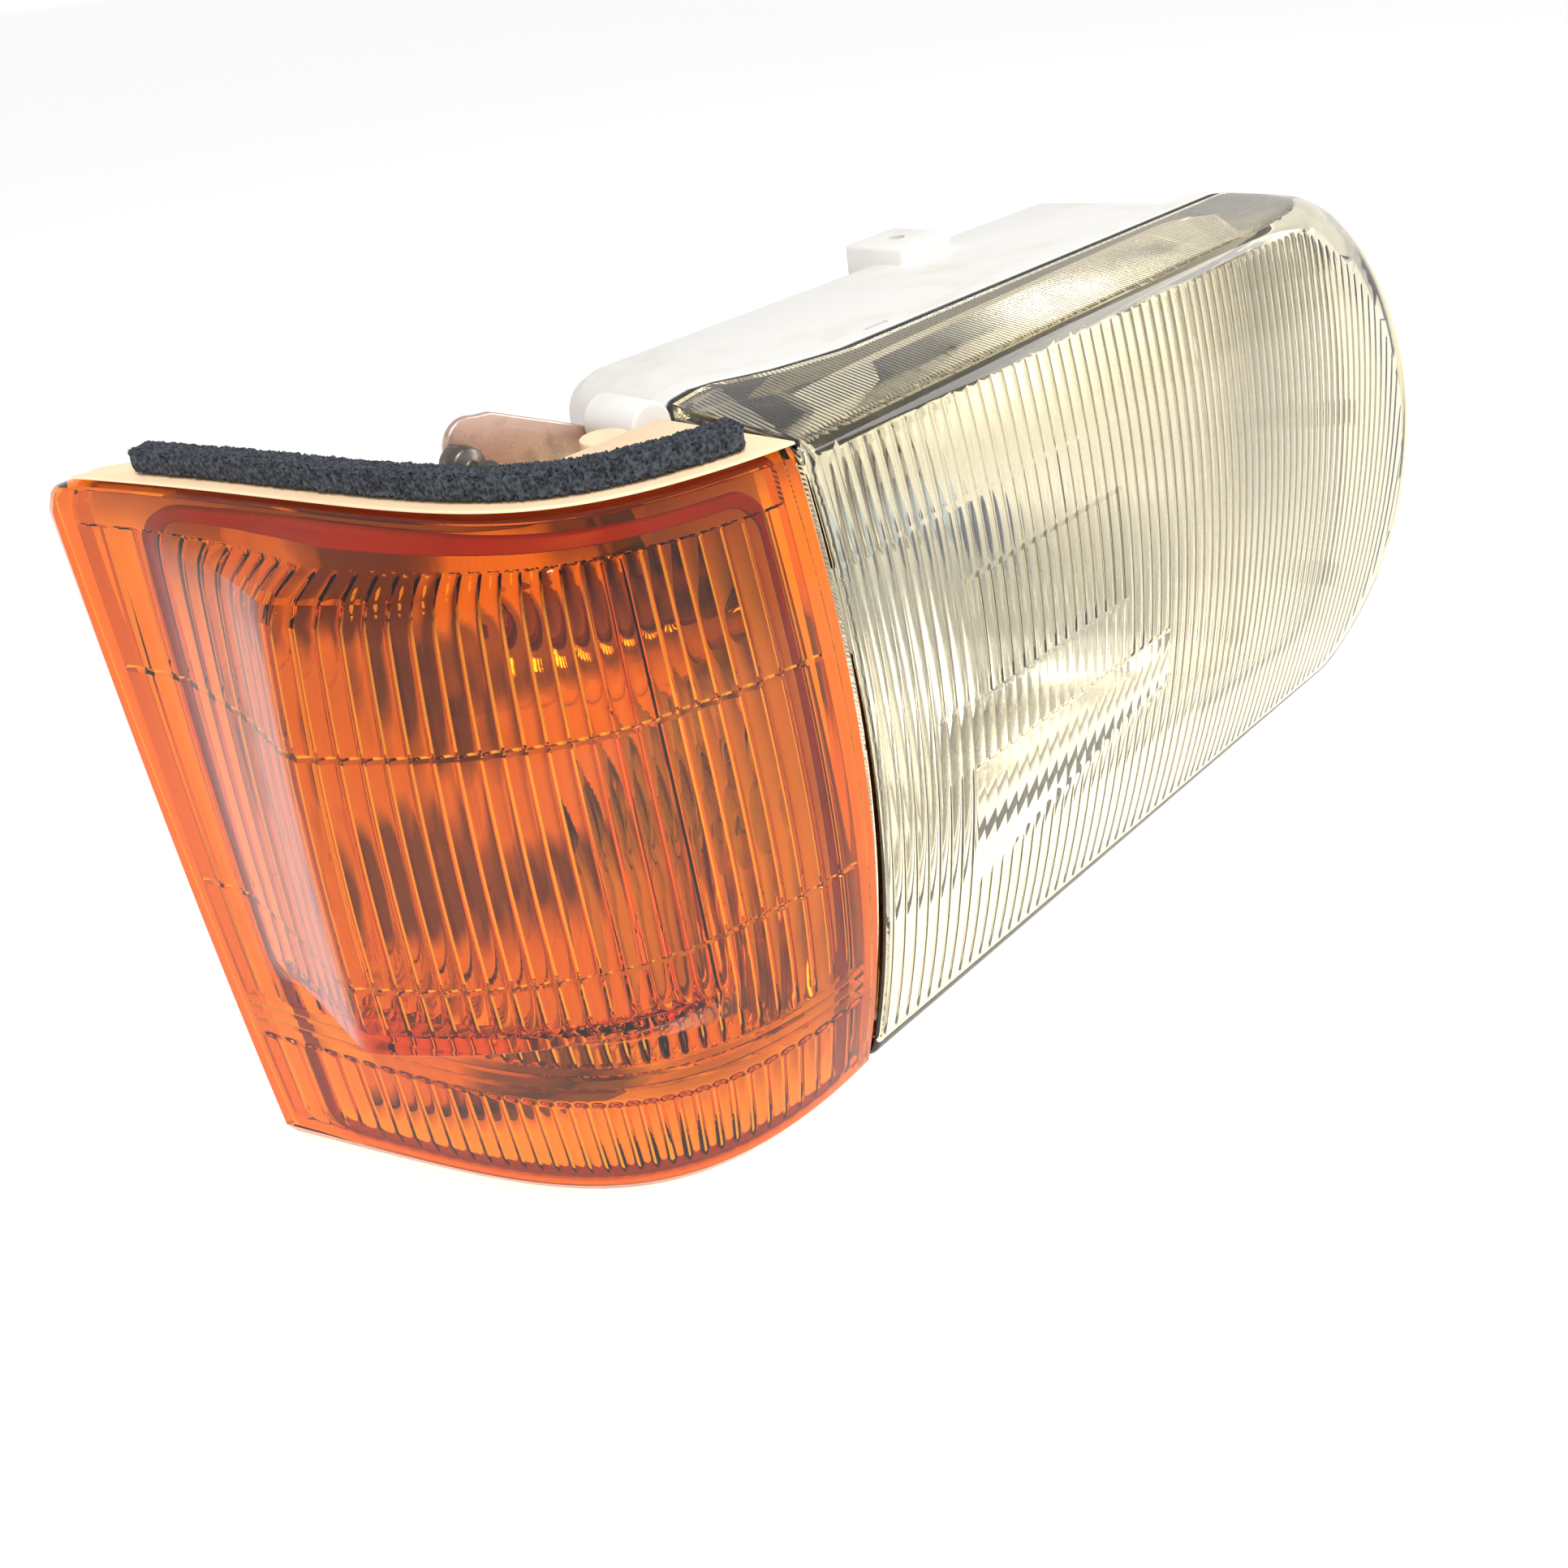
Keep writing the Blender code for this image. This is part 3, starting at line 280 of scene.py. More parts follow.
def bar(name, low, high, mat, radius=0.0):
    """A rectangular block between two corners, its edges rounded."""
    x0, y0, z0 = low
    x1, y1, z1 = high
    front = [[(x0, y0, z0), (x1, y0, z0)], [(x0, y0, z1), (x1, y0, z1)]]
    back = [[(x0, y1, z0), (x1, y1, z0)], [(x0, y1, z1), (x1, y1, z1)]]
    block = sheet_solid(name, front, back, mat)
    return soften(block, radius) if radius else block


def plate(name, outline, y0, y1, mat):
    """A flat outline of (x, z) given a thickness along Y."""
    return ring_solid(name, [[(x, y0, z) for x, z in outline], [(x, y1, z) for x, z in outline]], mat)


def arc(cx, cz, rx, rz, start, end, steps):
    """Points on an ellipse from one angle to another, in degrees."""
    out = []
    for i in range(steps + 1):
        angle = math.radians(start + (end - start) * i / steps)
        out.append((cx + rx * math.cos(angle), cz + rz * math.sin(angle)))
    return out


def shares(low, high, count):
    """Evenly spaced numbers, both ends among them."""
    return [low + (high - low) * i / (count - 1) for i in range(count)]


def skin(rows, columns, point):
    """A sheet of points, given by a function of column and row."""
    return [[point(column, row) for column in columns] for row in rows]


def between(pairs, x):
    """Value at x on a line through (x, value) pairs."""
    for (x0, y0), (x1, y1) in zip(pairs, pairs[1:]):
        if x < x1:
            return y0 + (y1 - y0) * (x - x0) / (x1 - x0)
    return pairs[-1][1]


def smooth_step(x, low, high):
    """0 below a range and 1 above it, with a soft change between."""
    t = min(1.0, max(0.0, (x - low) / (high - low)))
    return t * t * (3 - 2 * t)


# ---------------- materials


def fill(node, **values):
    """Set a node's sockets; an underscore stands for a space in a socket's name."""
    for socket, value in values.items():
        node.inputs[socket.replace("_", " ")].default_value = value
    return node


class Paint:
    """A Principled material with helpers for its procedural detail."""

    def __init__(self, name, colour, rough, metal=0.0, **sockets):
        self.mat = bpy.data.materials.new(name)
        self.mat.use_nodes = True
        self.tree = self.mat.node_tree
        self.shader = self.tree.nodes["Principled BSDF"]
        fill(self.shader, Base_Color=(*colour, 1.0), Roughness=rough, Metallic=metal, **sockets)
        self.colour = colour
        self.where = self.tree.nodes.new("ShaderNodeTexCoord").outputs["Object"]
        self.height = None

    def link(self, a, b):
        self.tree.links.new(a, b)

    def node(self, kind, **values):
        return fill(self.tree.nodes.new("ShaderNode" + kind), **values)

    def stretched(self, scale):
        """Object coordinates scaled along each axis."""
        node = self.node("Mapping", Scale=scale)
        self.link(self.where, node.inputs["Vector"])
        return node.outputs["Vector"]

    def grain(self, size, detail=4.0, scale=(1, 1, 1)):
        """Noise with features of a size in mm."""
        node = self.node("TexNoise", Scale=1000.0 / size, Detail=detail, Roughness=0.55)
        self.link(self.stretched(scale), node.inputs["Vector"])
        return node.outputs["Fac"]

    def cells(self, size):
        """Cell pattern with cells of a size in mm."""
        node = self.node("TexVoronoi", Scale=1000.0 / size)
        self.link(self.where, node.inputs["Vector"])
        return node.outputs["Distance"]

    def ramp(self, value, low, high, at_low, at_high):
        """A value range mapped on to another."""
        node = self.node("MapRange", From_Min=low, From_Max=high, To_Min=at_low, To_Max=at_high)
        self.link(value, node.inputs["Value"])
        return node.outputs["Result"]

    def tint(self, value, low, high, other):
        """Blend the colour towards another one where a value is high."""
        mix = self.tree.nodes.new("ShaderNodeMix")
        mix.data_type = "RGBA"
        self.link(self.ramp(value, low, high, 0.0, 1.0), mix.inputs["Factor"])
        base = self.shader.inputs["Base Color"]
        if base.is_linked:
            self.link(base.links[0].from_socket, mix.inputs["A"])
        else:
            mix.inputs["A"].default_value = (*self.colour, 1.0)
        mix.inputs["B"].default_value = (*other, 1.0)
        self.link(mix.outputs["Result"], base)
        return self

    def gloss(self, value, low, high, rough_low, rough_high):
        """Vary the roughness with a value."""
        self.link(self.ramp(value, low, high, rough_low, rough_high), self.shader.inputs["Roughness"])
        return self

    def bump(self, value, depth, strength=1.0):
        """Raise the surface by a depth in mm where a value is 1."""
        node = self.node("Bump", Distance=depth * MM, Strength=strength)
        self.link(value, node.inputs["Height"])
        if self.height is not None:
            self.link(self.height, node.inputs["Normal"])
        self.height = node.outputs["Normal"]
        self.link(self.height, self.shader.inputs["Normal"])
        return self

    def absorb(self, colour, density):
        """Colour that deepens with the length of the way through."""
        node = self.node("VolumeAbsorption", Color=(*colour, 1.0), Density=density)
        self.link(node.outputs["Volume"], self.tree.nodes["Material Output"].inputs["Volume"])
        return self


def lamp_glass():
    paint = Paint("lamp_glass", (0.97, 0.965, 0.93), 0.0, IOR=1.5, Transmission_Weight=1.0)
    paint.absorb((0.90, 0.80, 0.48), 92.0)
    paint.bump(paint.grain(26.0, 2.0), 0.05, 0.5)
    return paint.mat


def amber_plastic():
    paint = Paint("amber_plastic", (0.90, 0.40, 0.01), 0.0, IOR=1.49, Transmission_Weight=1.0,
                  Specular_IOR_Level=0.1)
    paint.absorb((0.97, 0.32, 0.03), 60.0)
    paint.bump(paint.grain(30.0, 2.0), 0.05, 0.5)
    return paint.mat


def moulded(name, colour, stain, rough=0.42):
    """Injection moulded plastic: fine texture, slight dirt and uneven gloss."""
    paint = Paint(name, colour, rough, IOR=1.46)
    cloud = paint.grain(22.0, 5.0)
    paint.tint(cloud, 0.52, 0.78, stain)
    paint.gloss(paint.grain(7.0, 6.0), 0.3, 0.7, rough - 0.08, rough + 0.12)
    paint.bump(paint.grain(0.7, 3.0), 0.035)
    paint.bump(paint.grain(9.0, 2.0), 0.08, 0.6)
    return paint.mat


def black_rubber():
    paint = Paint("seal_rubber", (0.018, 0.018, 0.02), 0.62)
    paint.tint(paint.grain(3.0, 6.0), 0.5, 0.8, (0.07, 0.068, 0.064))
    paint.gloss(paint.grain(1.6, 4.0), 0.3, 0.7, 0.5, 0.78)
    paint.bump(paint.grain(0.5, 4.0), 0.05)
    return paint.mat


def black_foam():
    paint = Paint("foam_rubber", (0.022, 0.026, 0.034), 0.95)
    pores = paint.cells(0.9)
    # painted shade: the pits of the pores are darker than their rims, by the same pattern that sinks them
    paint.tint(pores, 0.25, 0.75, (0.075, 0.082, 0.098))
    paint.tint(paint.grain(2.2, 5.0), 0.55, 0.75, (0.004, 0.005, 0.007))
    paint.bump(pores, 0.5)
    paint.bump(paint.grain(0.45, 4.0), 0.2)
    return paint.mat


def aluminised(name, rough):
    """Vacuum metal on plastic, a little hazed."""
    paint = Paint(name, (0.84, 0.82, 0.77), rough, 1.0)
    paint.tint(paint.grain(40.0, 4.0), 0.5, 0.8, (0.66, 0.63, 0.56))
    paint.gloss(paint.grain(12.0, 5.0), 0.35, 0.7, rough * 0.6, rough * 1.5)
    paint.bump(paint.grain(16.0, 2.0), 0.06, 0.5)
    return paint.mat


def mirror_with_painted_dark_reflections():
    """The corner lamp's liner: bright metal with big dark brown patches painted in as painted reflections of
    dark surroundings.
    """
    paint = Paint("mirror_with_painted_dark_reflections", (0.86, 0.83, 0.76), 0.08, 1.0)
    # painted reflection: large dark brown patches stand in for the dark surroundings a mirror would show
    paint.tint(paint.grain(34.0, 2.0), 0.45, 0.58, (0.17, 0.13, 0.08))
    paint.gloss(paint.grain(12.0, 5.0), 0.35, 0.7, 0.05, 0.16)
    paint.bump(paint.grain(16.0, 2.0), 0.06, 0.5)
    return paint.mat


def steel(name, colour, rough=0.28, streak=(1, 1, 1)):
    """Plated metal with fine scratches and a little tarnish."""
    paint = Paint(name, colour, rough, 1.0)
    dull = tuple(c * 0.55 for c in colour)
    paint.tint(paint.grain(6.0, 6.0), 0.52, 0.8, dull)
    paint.gloss(paint.grain(1.2, 6.0, streak), 0.3, 0.7, rough * 0.7, rough * 1.6)
    paint.bump(paint.grain(0.5, 4.0, streak), 0.02)
    return paint.mat


def bulb_glass():
    paint = Paint("bulb_glass", (0.84, 0.91, 1.0), 0.0, IOR=1.46, Transmission_Weight=1.0)
    paint.bump(paint.grain(10.0, 1.0), 0.02, 0.5)
    return paint.mat


GLASS = lamp_glass()
AMBER = amber_plastic()
WHITE = moulded("white_moulding", (0.74, 0.725, 0.69), (0.66, 0.62, 0.55))
CREAM = moulded("cream_moulding", (0.90, 0.66, 0.42), (0.80, 0.54, 0.33), 0.38)
NYLON = moulded("nylon_moulding", (0.74, 0.72, 0.66), (0.60, 0.56, 0.47), 0.36)
RUBBER = black_rubber()
FOAM = black_foam()
SILVER = aluminised("aluminised_bowl", 0.24)
BRIGHT = mirror_with_painted_dark_reflections()
SEALANT = moulded("red_sealant", (0.22, 0.008, 0.014), (0.12, 0.004, 0.008), 0.5)
TIP = moulded("bulb_tip_paint", (0.055, 0.065, 0.10), (0.02, 0.022, 0.03), 0.3)
STEEL = steel("zinc_steel", (0.62, 0.60, 0.56))
DARK_STEEL = steel("phosphated_steel", (0.20, 0.175, 0.155), 0.34)
BRONZE = steel("passivated_steel", (0.86, 0.63, 0.54), 0.33, (1, 1, 6))
TUNGSTEN = steel("filament_wire", (0.36, 0.35, 0.34), 0.4)
BULB = bulb_glass()


# ---------------- headlamp shape


def swell(z):
    """How far a face stands forward at a height."""
    return BULGE * (1 - ((z - HEIGHT / 2) / (HEIGHT / 2)) ** 2)


def round_over(distance, radius):
    """How far a face falls back near its edge."""
    gap = max(0.0, radius - distance)
    return radius - math.sqrt(max(0.0, radius * radius - gap * gap))


def inner_end(z):
    """X of the headlamp's inner end at a height."""
    rx, rz = LOW_CORNER if z < LOW_CORNER[1] else TOP_CORNER
    middle = LOW_CORNER[1] if z < LOW_CORNER[1] else HEIGHT - rz
    return INNER_END - rx + rx * math.sqrt(max(0.0, 1 - ((z - middle) / rz) ** 2))


def end_curve(inset):
    """The rounded inner end from the bottom edge to the top edge, drawn in by an inset."""
    rx, rz = LOW_CORNER
    low = arc(INNER_END - rx, rz, rx - inset, rz - inset, 270, 360, 22)
    rx, rz = TOP_CORNER
    high = arc(INNER_END - rx, HEIGHT - rz, rx - inset, rz - inset, 0, 90, 30)
    return low + high[1:]


def end_slack(z):
    """How far up the inboard top corner a height is, from 0 at its foot to 1 at the top edge."""
    rise = max(0.0, z - (HEIGHT - CREASE_CORNER[1])) / CREASE_CORNER[1]
    return 1 - math.sqrt(max(0.0, 1 - rise * rise))


def end_fall(gap, z):
    """How far the face falls back at a distance from the inner end."""
    width = END_ROUND + (CREASE_CORNER[0] - TOP_CORNER[0]) * end_slack(z)
    share = min(1.0, max(0.0, 1 - gap / width))
    depth = END_ROUND + END_DROP * end_slack(z)
    return depth * (1 - math.sqrt(1 - share * share))


def face_y(x, z, inset=0.0):
    """Y of the lens's face, or of the smooth skin at an inset below it."""
    side = round_over(max(0.0, x - SEAM - inset), SEAM_ROUND)
    flat = round_over(max(0.0, min(z - inset, HEIGHT - z - inset)), EDGE_ROUND)
    fall = end_fall(inner_end(z) - inset - x, z)
    limit = END_ROUND + 1.4 * END_DROP * end_slack(z)
    return min(side + flat + fall, limit) + inset - swell(z)


def lens_grid(inset):
    """Points (x, z) over the lens face: columns bunch at both ends, rows at the top and bottom."""
    fine = [0.0, 0.25, 0.6, 1.1, 1.8, 2.7, 3.8, 5.2, 7.2, 9.8, 13.0, 18.0]
    start = SEAM + inset
    width = INNER_END - SEAM - 2 * inset
    tall = HEIGHT - 2 * inset
    cols = [f / width for f in fine]
    cols = cols + shares(cols[-1], 1 - cols[-1], 34)[1:-1] + [1 - c for c in cols[::-1]]
    rows = [f / tall for f in fine[:-2]]
    rows = rows + shares(rows[-1], 1 - rows[-1], 34)[1:-1] + [1 - r for r in rows[::-1]]
    end = np.array(end_curve(inset))
    steps = np.r_[0, np.cumsum(np.hypot(*np.diff(end, axis=0).T))]
    steps /= steps[-1]
    foot = np.array([start, inset])
    crown = np.array([start, HEIGHT - inset])
    # the end curve leaves the long edges smoothly, so rows follow its height near them
    grid = []
    for t in rows:
        right = np.array([np.interp(t, steps, end[:, k]) for k in (0, 1)])
        left = np.array([start, inset + tall * t])
        line = []
        for s in cols:
            low = np.array([start + (end[0][0] - SEAM - inset) * s, inset])
            high = np.array([start + (end[-1][0] - SEAM - inset) * s, HEIGHT - inset])
            ruled = left * (1 - s) + right * s + low * (1 - t) + high * t
            corners = (1 - s) * ((1 - t) * foot + t * crown)
            corners = corners + s * ((1 - t) * end[0] + t * end[-1])
            line.append(tuple(ruled - corners))
        grid.append(line)
    return grid


def rim_back(x):
    """Y of the rear edge of the headlamp lens; it sweeps back towards the seam."""
    return between(((-9.0, RIM_LINE[0][1]),) + RIM_LINE + ((400.0, RIM_LINE[-1][1]),), x)


def tray(name, inset, depth, mat, forward=0.0):
    """The lens's outer body, or with an inset the smooth hollow behind its face."""
    grid = lens_grid(inset)
    front = [[(x, face_y(x, z, inset) - forward, z) for x, z in line] for line in grid]
    back = []
    for line in grid:
        leans = [7.4 * (1 - smooth_step(x, SEAM, 60.0)) for x, _ in line]
        back.append([(x + lean, rim_back(x + lean - inset) + depth, z) for (x, z), lean in zip(line, leans)])
    return sheet_solid(name, front, back, mat)


# blocks of the inner face: x from and to, z from and to, how proud, how much flute, and how far
# the lower edge climbs along the block
OPTIC_BLOCKS = (
    (2.0, 136.0, 125.0, 151.0, 0.30, 1.0, 0.0),
    (36.0, 84.0, 109.0, 125.0, 0.1, 1.0, 0.0),
    (39.0, 97.0, 82.0, 109.0, 0.40, 1.15, 0.0),
    (23.0, 97.0, 66.0, 82.0, 0.25, 0.35, 0.0),
    (35.0, 117.0, 32.0, 66.0, 0.42, 0.10, 15.0),
)
OPTIC_BASE = 0.2               # how proud the inner face is outside the blocks
OPTIC_BLEND = 3.5              # height over which a climbing edge fades in
FLUTE_OUT = 4.1                # pitch of the flutes outboard and inboard of where it changes
FLUTE_IN = 3.4
FLUTE_CHANGE = 136.0
FLUTE_DEPTH = 0.25
BLOCK_BACK = 70.0              # how far back the fluted block reaches
BLOCK_END = 400.0              # how far inboard the ribbed one does


def optic(x, z):
    """How far the inner face stands into the lamp there, and how strong its flutes are."""
    for x0, x1, z0, z1, proud, flute, climb in OPTIC_BLOCKS:
        low = z0 + climb * (x - x0) / (x1 - x0)
        if x0 <= x <= x1 and low <= z <= z1:
            blend = smooth_step(z - low, 0.0, OPTIC_BLEND) if climb else 1.0
            return OPTIC_BASE + (proud - OPTIC_BASE) * blend, 1.0 + (flute - 1.0) * blend
    return OPTIC_BASE, 1.0


def flute_columns():
    """X of each point across the flutes, and its place in its flute from 0 to 1."""
    out = []
    x = SEAM + 1.0
    while x < INNER_END + 2.0:
        pitch = FLUTE_OUT if x < FLUTE_CHANGE else FLUTE_IN
        for place in (0.0, 0.08, 0.2, 0.35, 0.5, 0.65, 0.8, 0.92):
            out.append((x + pitch * place, place))
        x += pitch
    return out


def fluted_block(mat):
    """A block whose front is the lens's fluted inner face."""
    edges = [z + d for block in OPTIC_BLOCKS for z in block[2:4] for d in (-0.4, 0.4)]
    rows = sorted(set([-2.0 + 1.75 * i for i in range(89)] + edges))
    columns = flute_columns()

    def inner(column, z):
        x, place = column
        proud, flute = optic(x, z)
        valley = 4 * place * (1 - place)
        return (x, LENS_WALL + 0.15 + proud + FLUTE_DEPTH * flute * (1 - valley) - swell(z), z)

    back = skin(rows, columns, lambda column, z: (column[0], BLOCK_BACK, z))
    return sheet_solid("fluted_block", skin(rows, columns, inner), back, mat)


def ribbed_block(mat):
    """A block whose outboard side carries the fine level ribs of the lens's side wall."""
    rows = [0.25 * i for i in range(-6, 640)]
    side = ((0.1, -12.0), (0.1, 2.0), (7.6, 52.0), (10.0, 72.0))

    def ribbed(station, z):
        rib = 0.16 * abs((z % 1.0) - 0.5) * 2
        return (SEAM + LENS_WALL + station[0] + rib, station[1], z)

    far = skin(rows, side, lambda station, z: (BLOCK_END, station[1], z))
    return sheet_solid("ribbed_block", skin(rows, side, ribbed), far, mat)


def ribbed_roof(mat):
    """A block whose top carries the fine slanting ribs of the lens's top wall."""
    rows = (-14.0, 0.0, 14.0, 24.0, 26.0, 34.0, 46.0, 74.0)
    columns = [0.3 * i for i in range(-40, 1020)]

    def ribbed(x, y):
        rib = 0.24 * abs((x / 1.2) % 1.0 - 0.5) * 2
        return (x + 0.35 * y, y, HEIGHT - LENS_WALL - 0.05 - rib)

    low = skin(rows, columns, lambda x, y: (x + 0.35 * y, y, -20.0))
    return sheet_solid("ribbed_roof", low, skin(rows, columns, ribbed), mat)


def headlamp_glass():
    """Pressed glass tray: smooth outside, fluted inside, ribbed inside its side and top walls."""
    lens = tray("headlamp_glass", 0.0, 0.0, GLASS)
    hollow = tray("glass_hollow", LENS_WALL, 8.0, GLASS, forward=0.05)
    for block in (fluted_block, ribbed_block, ribbed_roof):
        boolean(hollow, block(GLASS), "INTERSECT", "MANIFOLD")
    cut(lens, hollow, "MANIFOLD")
    lens.visible_shadow = False
    return show(lens, "lamp_body", "clear_glass", "headlamp_lens", angle=28.0)


# ---------------- corner lamp shape

FACE_TOP = ((-0.9, -0.4), (-66.3, 9.6), (-53.7, 38.1), (-79.5, 126.0))
FACE_LOW = ((-0.9, -0.4), (-68.8, -7.2), (-75.5, 29.8), (-101.5, 99.0))
WALL_TOP = ((-2.0, 36.5), (-56.0, 34.0), (-46.0, 40.0), (-62.5, 119.0))
WALL_LOW = ((-2.0, 36.5), (-62.0, 34.0), (-56.0, 40.0), (-85.0, 94.0))
PANEL_PLAN = ((0.0, 0.0), (0.20, 0.0), (0.45, 7.0), (0.70, 17.5), (0.92, 0.0), (1.0, 0.0))
PANEL_LOW = 45.0               # heights between which the panel of the amber lens is raised
PANEL_TOP = 148.0
CORNER_WALL = 2.6
CORNER_FLUTES = 34
FLUTES_LOW = 37.0              # height from which the amber lens's main flutes run
FLUTES_HIGH = 141.0
AMBER_LINES = (31.0, 34.5, 64.0, 111.0)  # heights of the level ridges inside it
FRAME_LOW = 3.6                # bead that frames the inner face
FRAME_HIGH = 144.6
FRAME_S = (0.045, 0.925)
FLANK = 190.0                  # length of the plan curve
TAIL_START = 0.8               # share from which the rear edge is drawn out
TAIL_LOW = -2.0                # by how much, at the bottom and at the top
TAIL_TOP = 12.0
TAIL_ROUND = 8.0               # rounding of its upper corner


def bezier(points, s):
    """Point and direction of a plan curve."""
    a, b, c, d = (Vector(p) for p in points)
    r = 1 - s
    place = a * r ** 3 + b * 3 * r * r * s + c * 3 * r * s * s + d * s ** 3
    along = (b - a) * 3 * r * r + (c - b) * 6 * r * s + (d - c) * 3 * s * s
    return place, along.normalized()


def corner_share(s, z):
    """Share of the plan curve; the flank's rear edge leans back with height and its top is rounded."""
    reach = TAIL_LOW + (TAIL_TOP - TAIL_LOW) * z / HEIGHT - round_over(max(0.0, HEIGHT - z), TAIL_ROUND)
    return s + max(0.0, s - TAIL_START) / (1 - TAIL_START) * reach / FLANK


def corner_panel(s, z, inset=0.0):
    """How far the raised panel stands out of the corner lens; an inset gives its inner skin."""
    low = (z - PANEL_LOW - inset) / 6.0
    high = (PANEL_TOP - inset - z) / 9.0
    rise = ramped(low) * ramped(high)
    plan = sum(between(PANEL_PLAN, s + d) for d in (-0.014, -0.007, 0.0, 0.007, 0.014)) / 5
    return plan * rise


def ramped(t):
    """A ramp from 0 to 1 with soft ends."""
    t = max(0.0, min(1.0, t))
    soft = t * t * (3 - 2 * t)
    return 0.6 * t + 0.4 * soft


def corner_face(s, z, depth=0.0, proud=0.0):
    """Point of the corner lens at a share of its length and a height, drawn in by a depth."""
    t = z / HEIGHT
    curve = corner_share(s, z)
    low, low_dir = bezier(FACE_LOW, curve)
    top, top_dir = bezier(FACE_TOP, curve)
    place = low.lerp(top, t)
    along = low_dir.lerp(top_dir, t).normalized()
    outward = Vector((-along.y, along.x))
    if s < 0.02:
        outward = Vector((0.0, -1.0))
    place = place + outward * (swell(z) * (1 - 0.8 * s * s) + proud - depth)
    return (min(place.x, -SEAM + 0.2), place.y, z)


def corner_wall(s, z, forward=0.0):
    """Point of the corner housing's back wall."""
    curve = corner_share(s, z)
    place = bezier(WALL_LOW, curve)[0].lerp(bezier(WALL_TOP, curve)[0], z / HEIGHT)
    along = bezier(WALL_TOP, curve)[1]
    place = place + Vector((-along.y, along.x)) * forward
    return (min(place.x, -SEAM), place.y, z)


def amber_rows(low, high):
    """Heights of the amber lens, with rows close together at every edge."""
    edges = (PANEL_LOW, PANEL_LOW + 6.0, PANEL_TOP - 8.0, PANEL_TOP, FLUTES_LOW, FLUTES_HIGH)
    rows = shares(low, high, 46) + [z + d for z in edges for d in (-0.5, -0.12, 0.12, 0.5)]
    rows += [z + d for z in AMBER_LINES for d in (-0.7, -0.35, 0.0, 0.35, 0.7)]
    rows += shares(5.0, 8.0, 7) + shares(25.0, 28.5, 8)
    rows = sorted(z for z in set(rows) if low <= z <= high)
    return [z for i, z in enumerate(rows) if i == 0 or z - rows[i - 1] > 0.08]


def amber_columns(low, high, parts):
    """Shares of the plan curve, each with its place in its flute from 0 to 1."""
    return [(low + (high - low) * i / (CORNER_FLUTES * parts), (i % parts) / parts)
            for i in range(CORNER_FLUTES * parts + 1)]


def band(z, low, high, fade):
    """1 between two heights, fading out inside each of them."""
    return smooth_step(z, low, low + fade) * (1 - smooth_step(z, high - fade, high))


def amber_inner(z, place):
    """Depth of the amber lens's inner face: bulging flutes in two bands and level ridges."""
    flute = 4 * place * (1 - place)
    strength = band(z, FLUTES_LOW, FLUTES_HIGH, 0.8) + band(z, 5.0, 28.0, 2.5)
    depth = CORNER_WALL + 1.05 * strength * flute
    for line in AMBER_LINES:
        depth += 0.6 * max(0.0, 1 - abs(z - line) / 0.7)
    return depth


def frame_loop(inset, depth):
    """Rounded loop round the inner face of the amber lens."""
    round_s, round_z = (6.0 / FLANK, 6.0)
    s0, s1 = (FRAME_S[0] + inset / FLANK, FRAME_S[1] - inset / FLANK)
    z0, z1 = (FRAME_LOW + inset, FRAME_HIGH - inset)
    left, right = (s0 + round_s, s1 - round_s)
    low, high = (z0 + round_z, z1 - round_z)
    loop = [(s, z0) for s in shares(left, right, 50)]
    loop += arc(right, low, round_s, round_z, 270, 360, 8)[1:]
    loop += [(s1, z) for z in shares(low, high, 30)][1:]
    loop += arc(right, high, round_s, round_z, 0, 90, 8)[1:]
    loop += [(s, z1) for s in shares(right, left, 50)][1:]
    loop += arc(left, high, round_s, round_z, 90, 180, 8)[1:]
    loop += [(s0, z) for z in shares(high, low, 30)][1:]
    loop += arc(left, low, round_s, round_z, 180, 270, 8)[1:-1]
    return [corner_face(s, z, depth, corner_panel(s, z, CORNER_WALL)) for s, z in loop]


def frame_bead():
    """Bead of red sealant that joins the tray to the inside of the amber lens."""
    outline = ((0.2, 3.7), (0.0, 4.0), (0.0, 5.6), (2.2, 5.6), (2.2, 4.0), (2.0, 3.7))
    bead = ring_solid("frame_bead", [frame_loop(*pair) for pair in outline], SEALANT, closed=True)
    return show(bead, "corner_lamp", "amber_acrylic")


def amber_lens():
    """Amber tray wrapped round the wing, with its raised panel and inner flutes."""
    def outer(column, z):
        s = column[0]
        edge = round_over(min(z, HEIGHT - z), 2.0) + round_over(min(s * FLANK, (1 - s) * FLANK), 1.5)
        return corner_face(s, z, min(edge, 2.5), corner_panel(s, z))

    def inner(column, z):
        s, place = column
        return corner_face(s, z, amber_inner(z, place), corner_panel(s, z, CORNER_WALL))

    rows = amber_rows(0.0, HEIGHT)
    columns = amber_columns(0.0, 1.0, 4)
    back = skin(rows, columns, lambda column, z: corner_face(column[0], z, 7.0))
    lens = sheet_solid("amber_lens", skin(rows, columns, outer), back, AMBER)
    rows = amber_rows(CORNER_WALL, HEIGHT - CORNER_WALL)
    columns = amber_columns(0.025, 0.98, 8)
    back = skin(rows, columns, lambda column, z: corner_face(column[0], z, 16.0))
    cut(lens, sheet_solid("amber_hollow", skin(rows, columns, inner), back, AMBER), "MANIFOLD")
    lens.visible_shadow = False
    return show(lens, "corner_lamp", "amber_acrylic", "corner_lens", angle=24.0)


# ---------------- housings


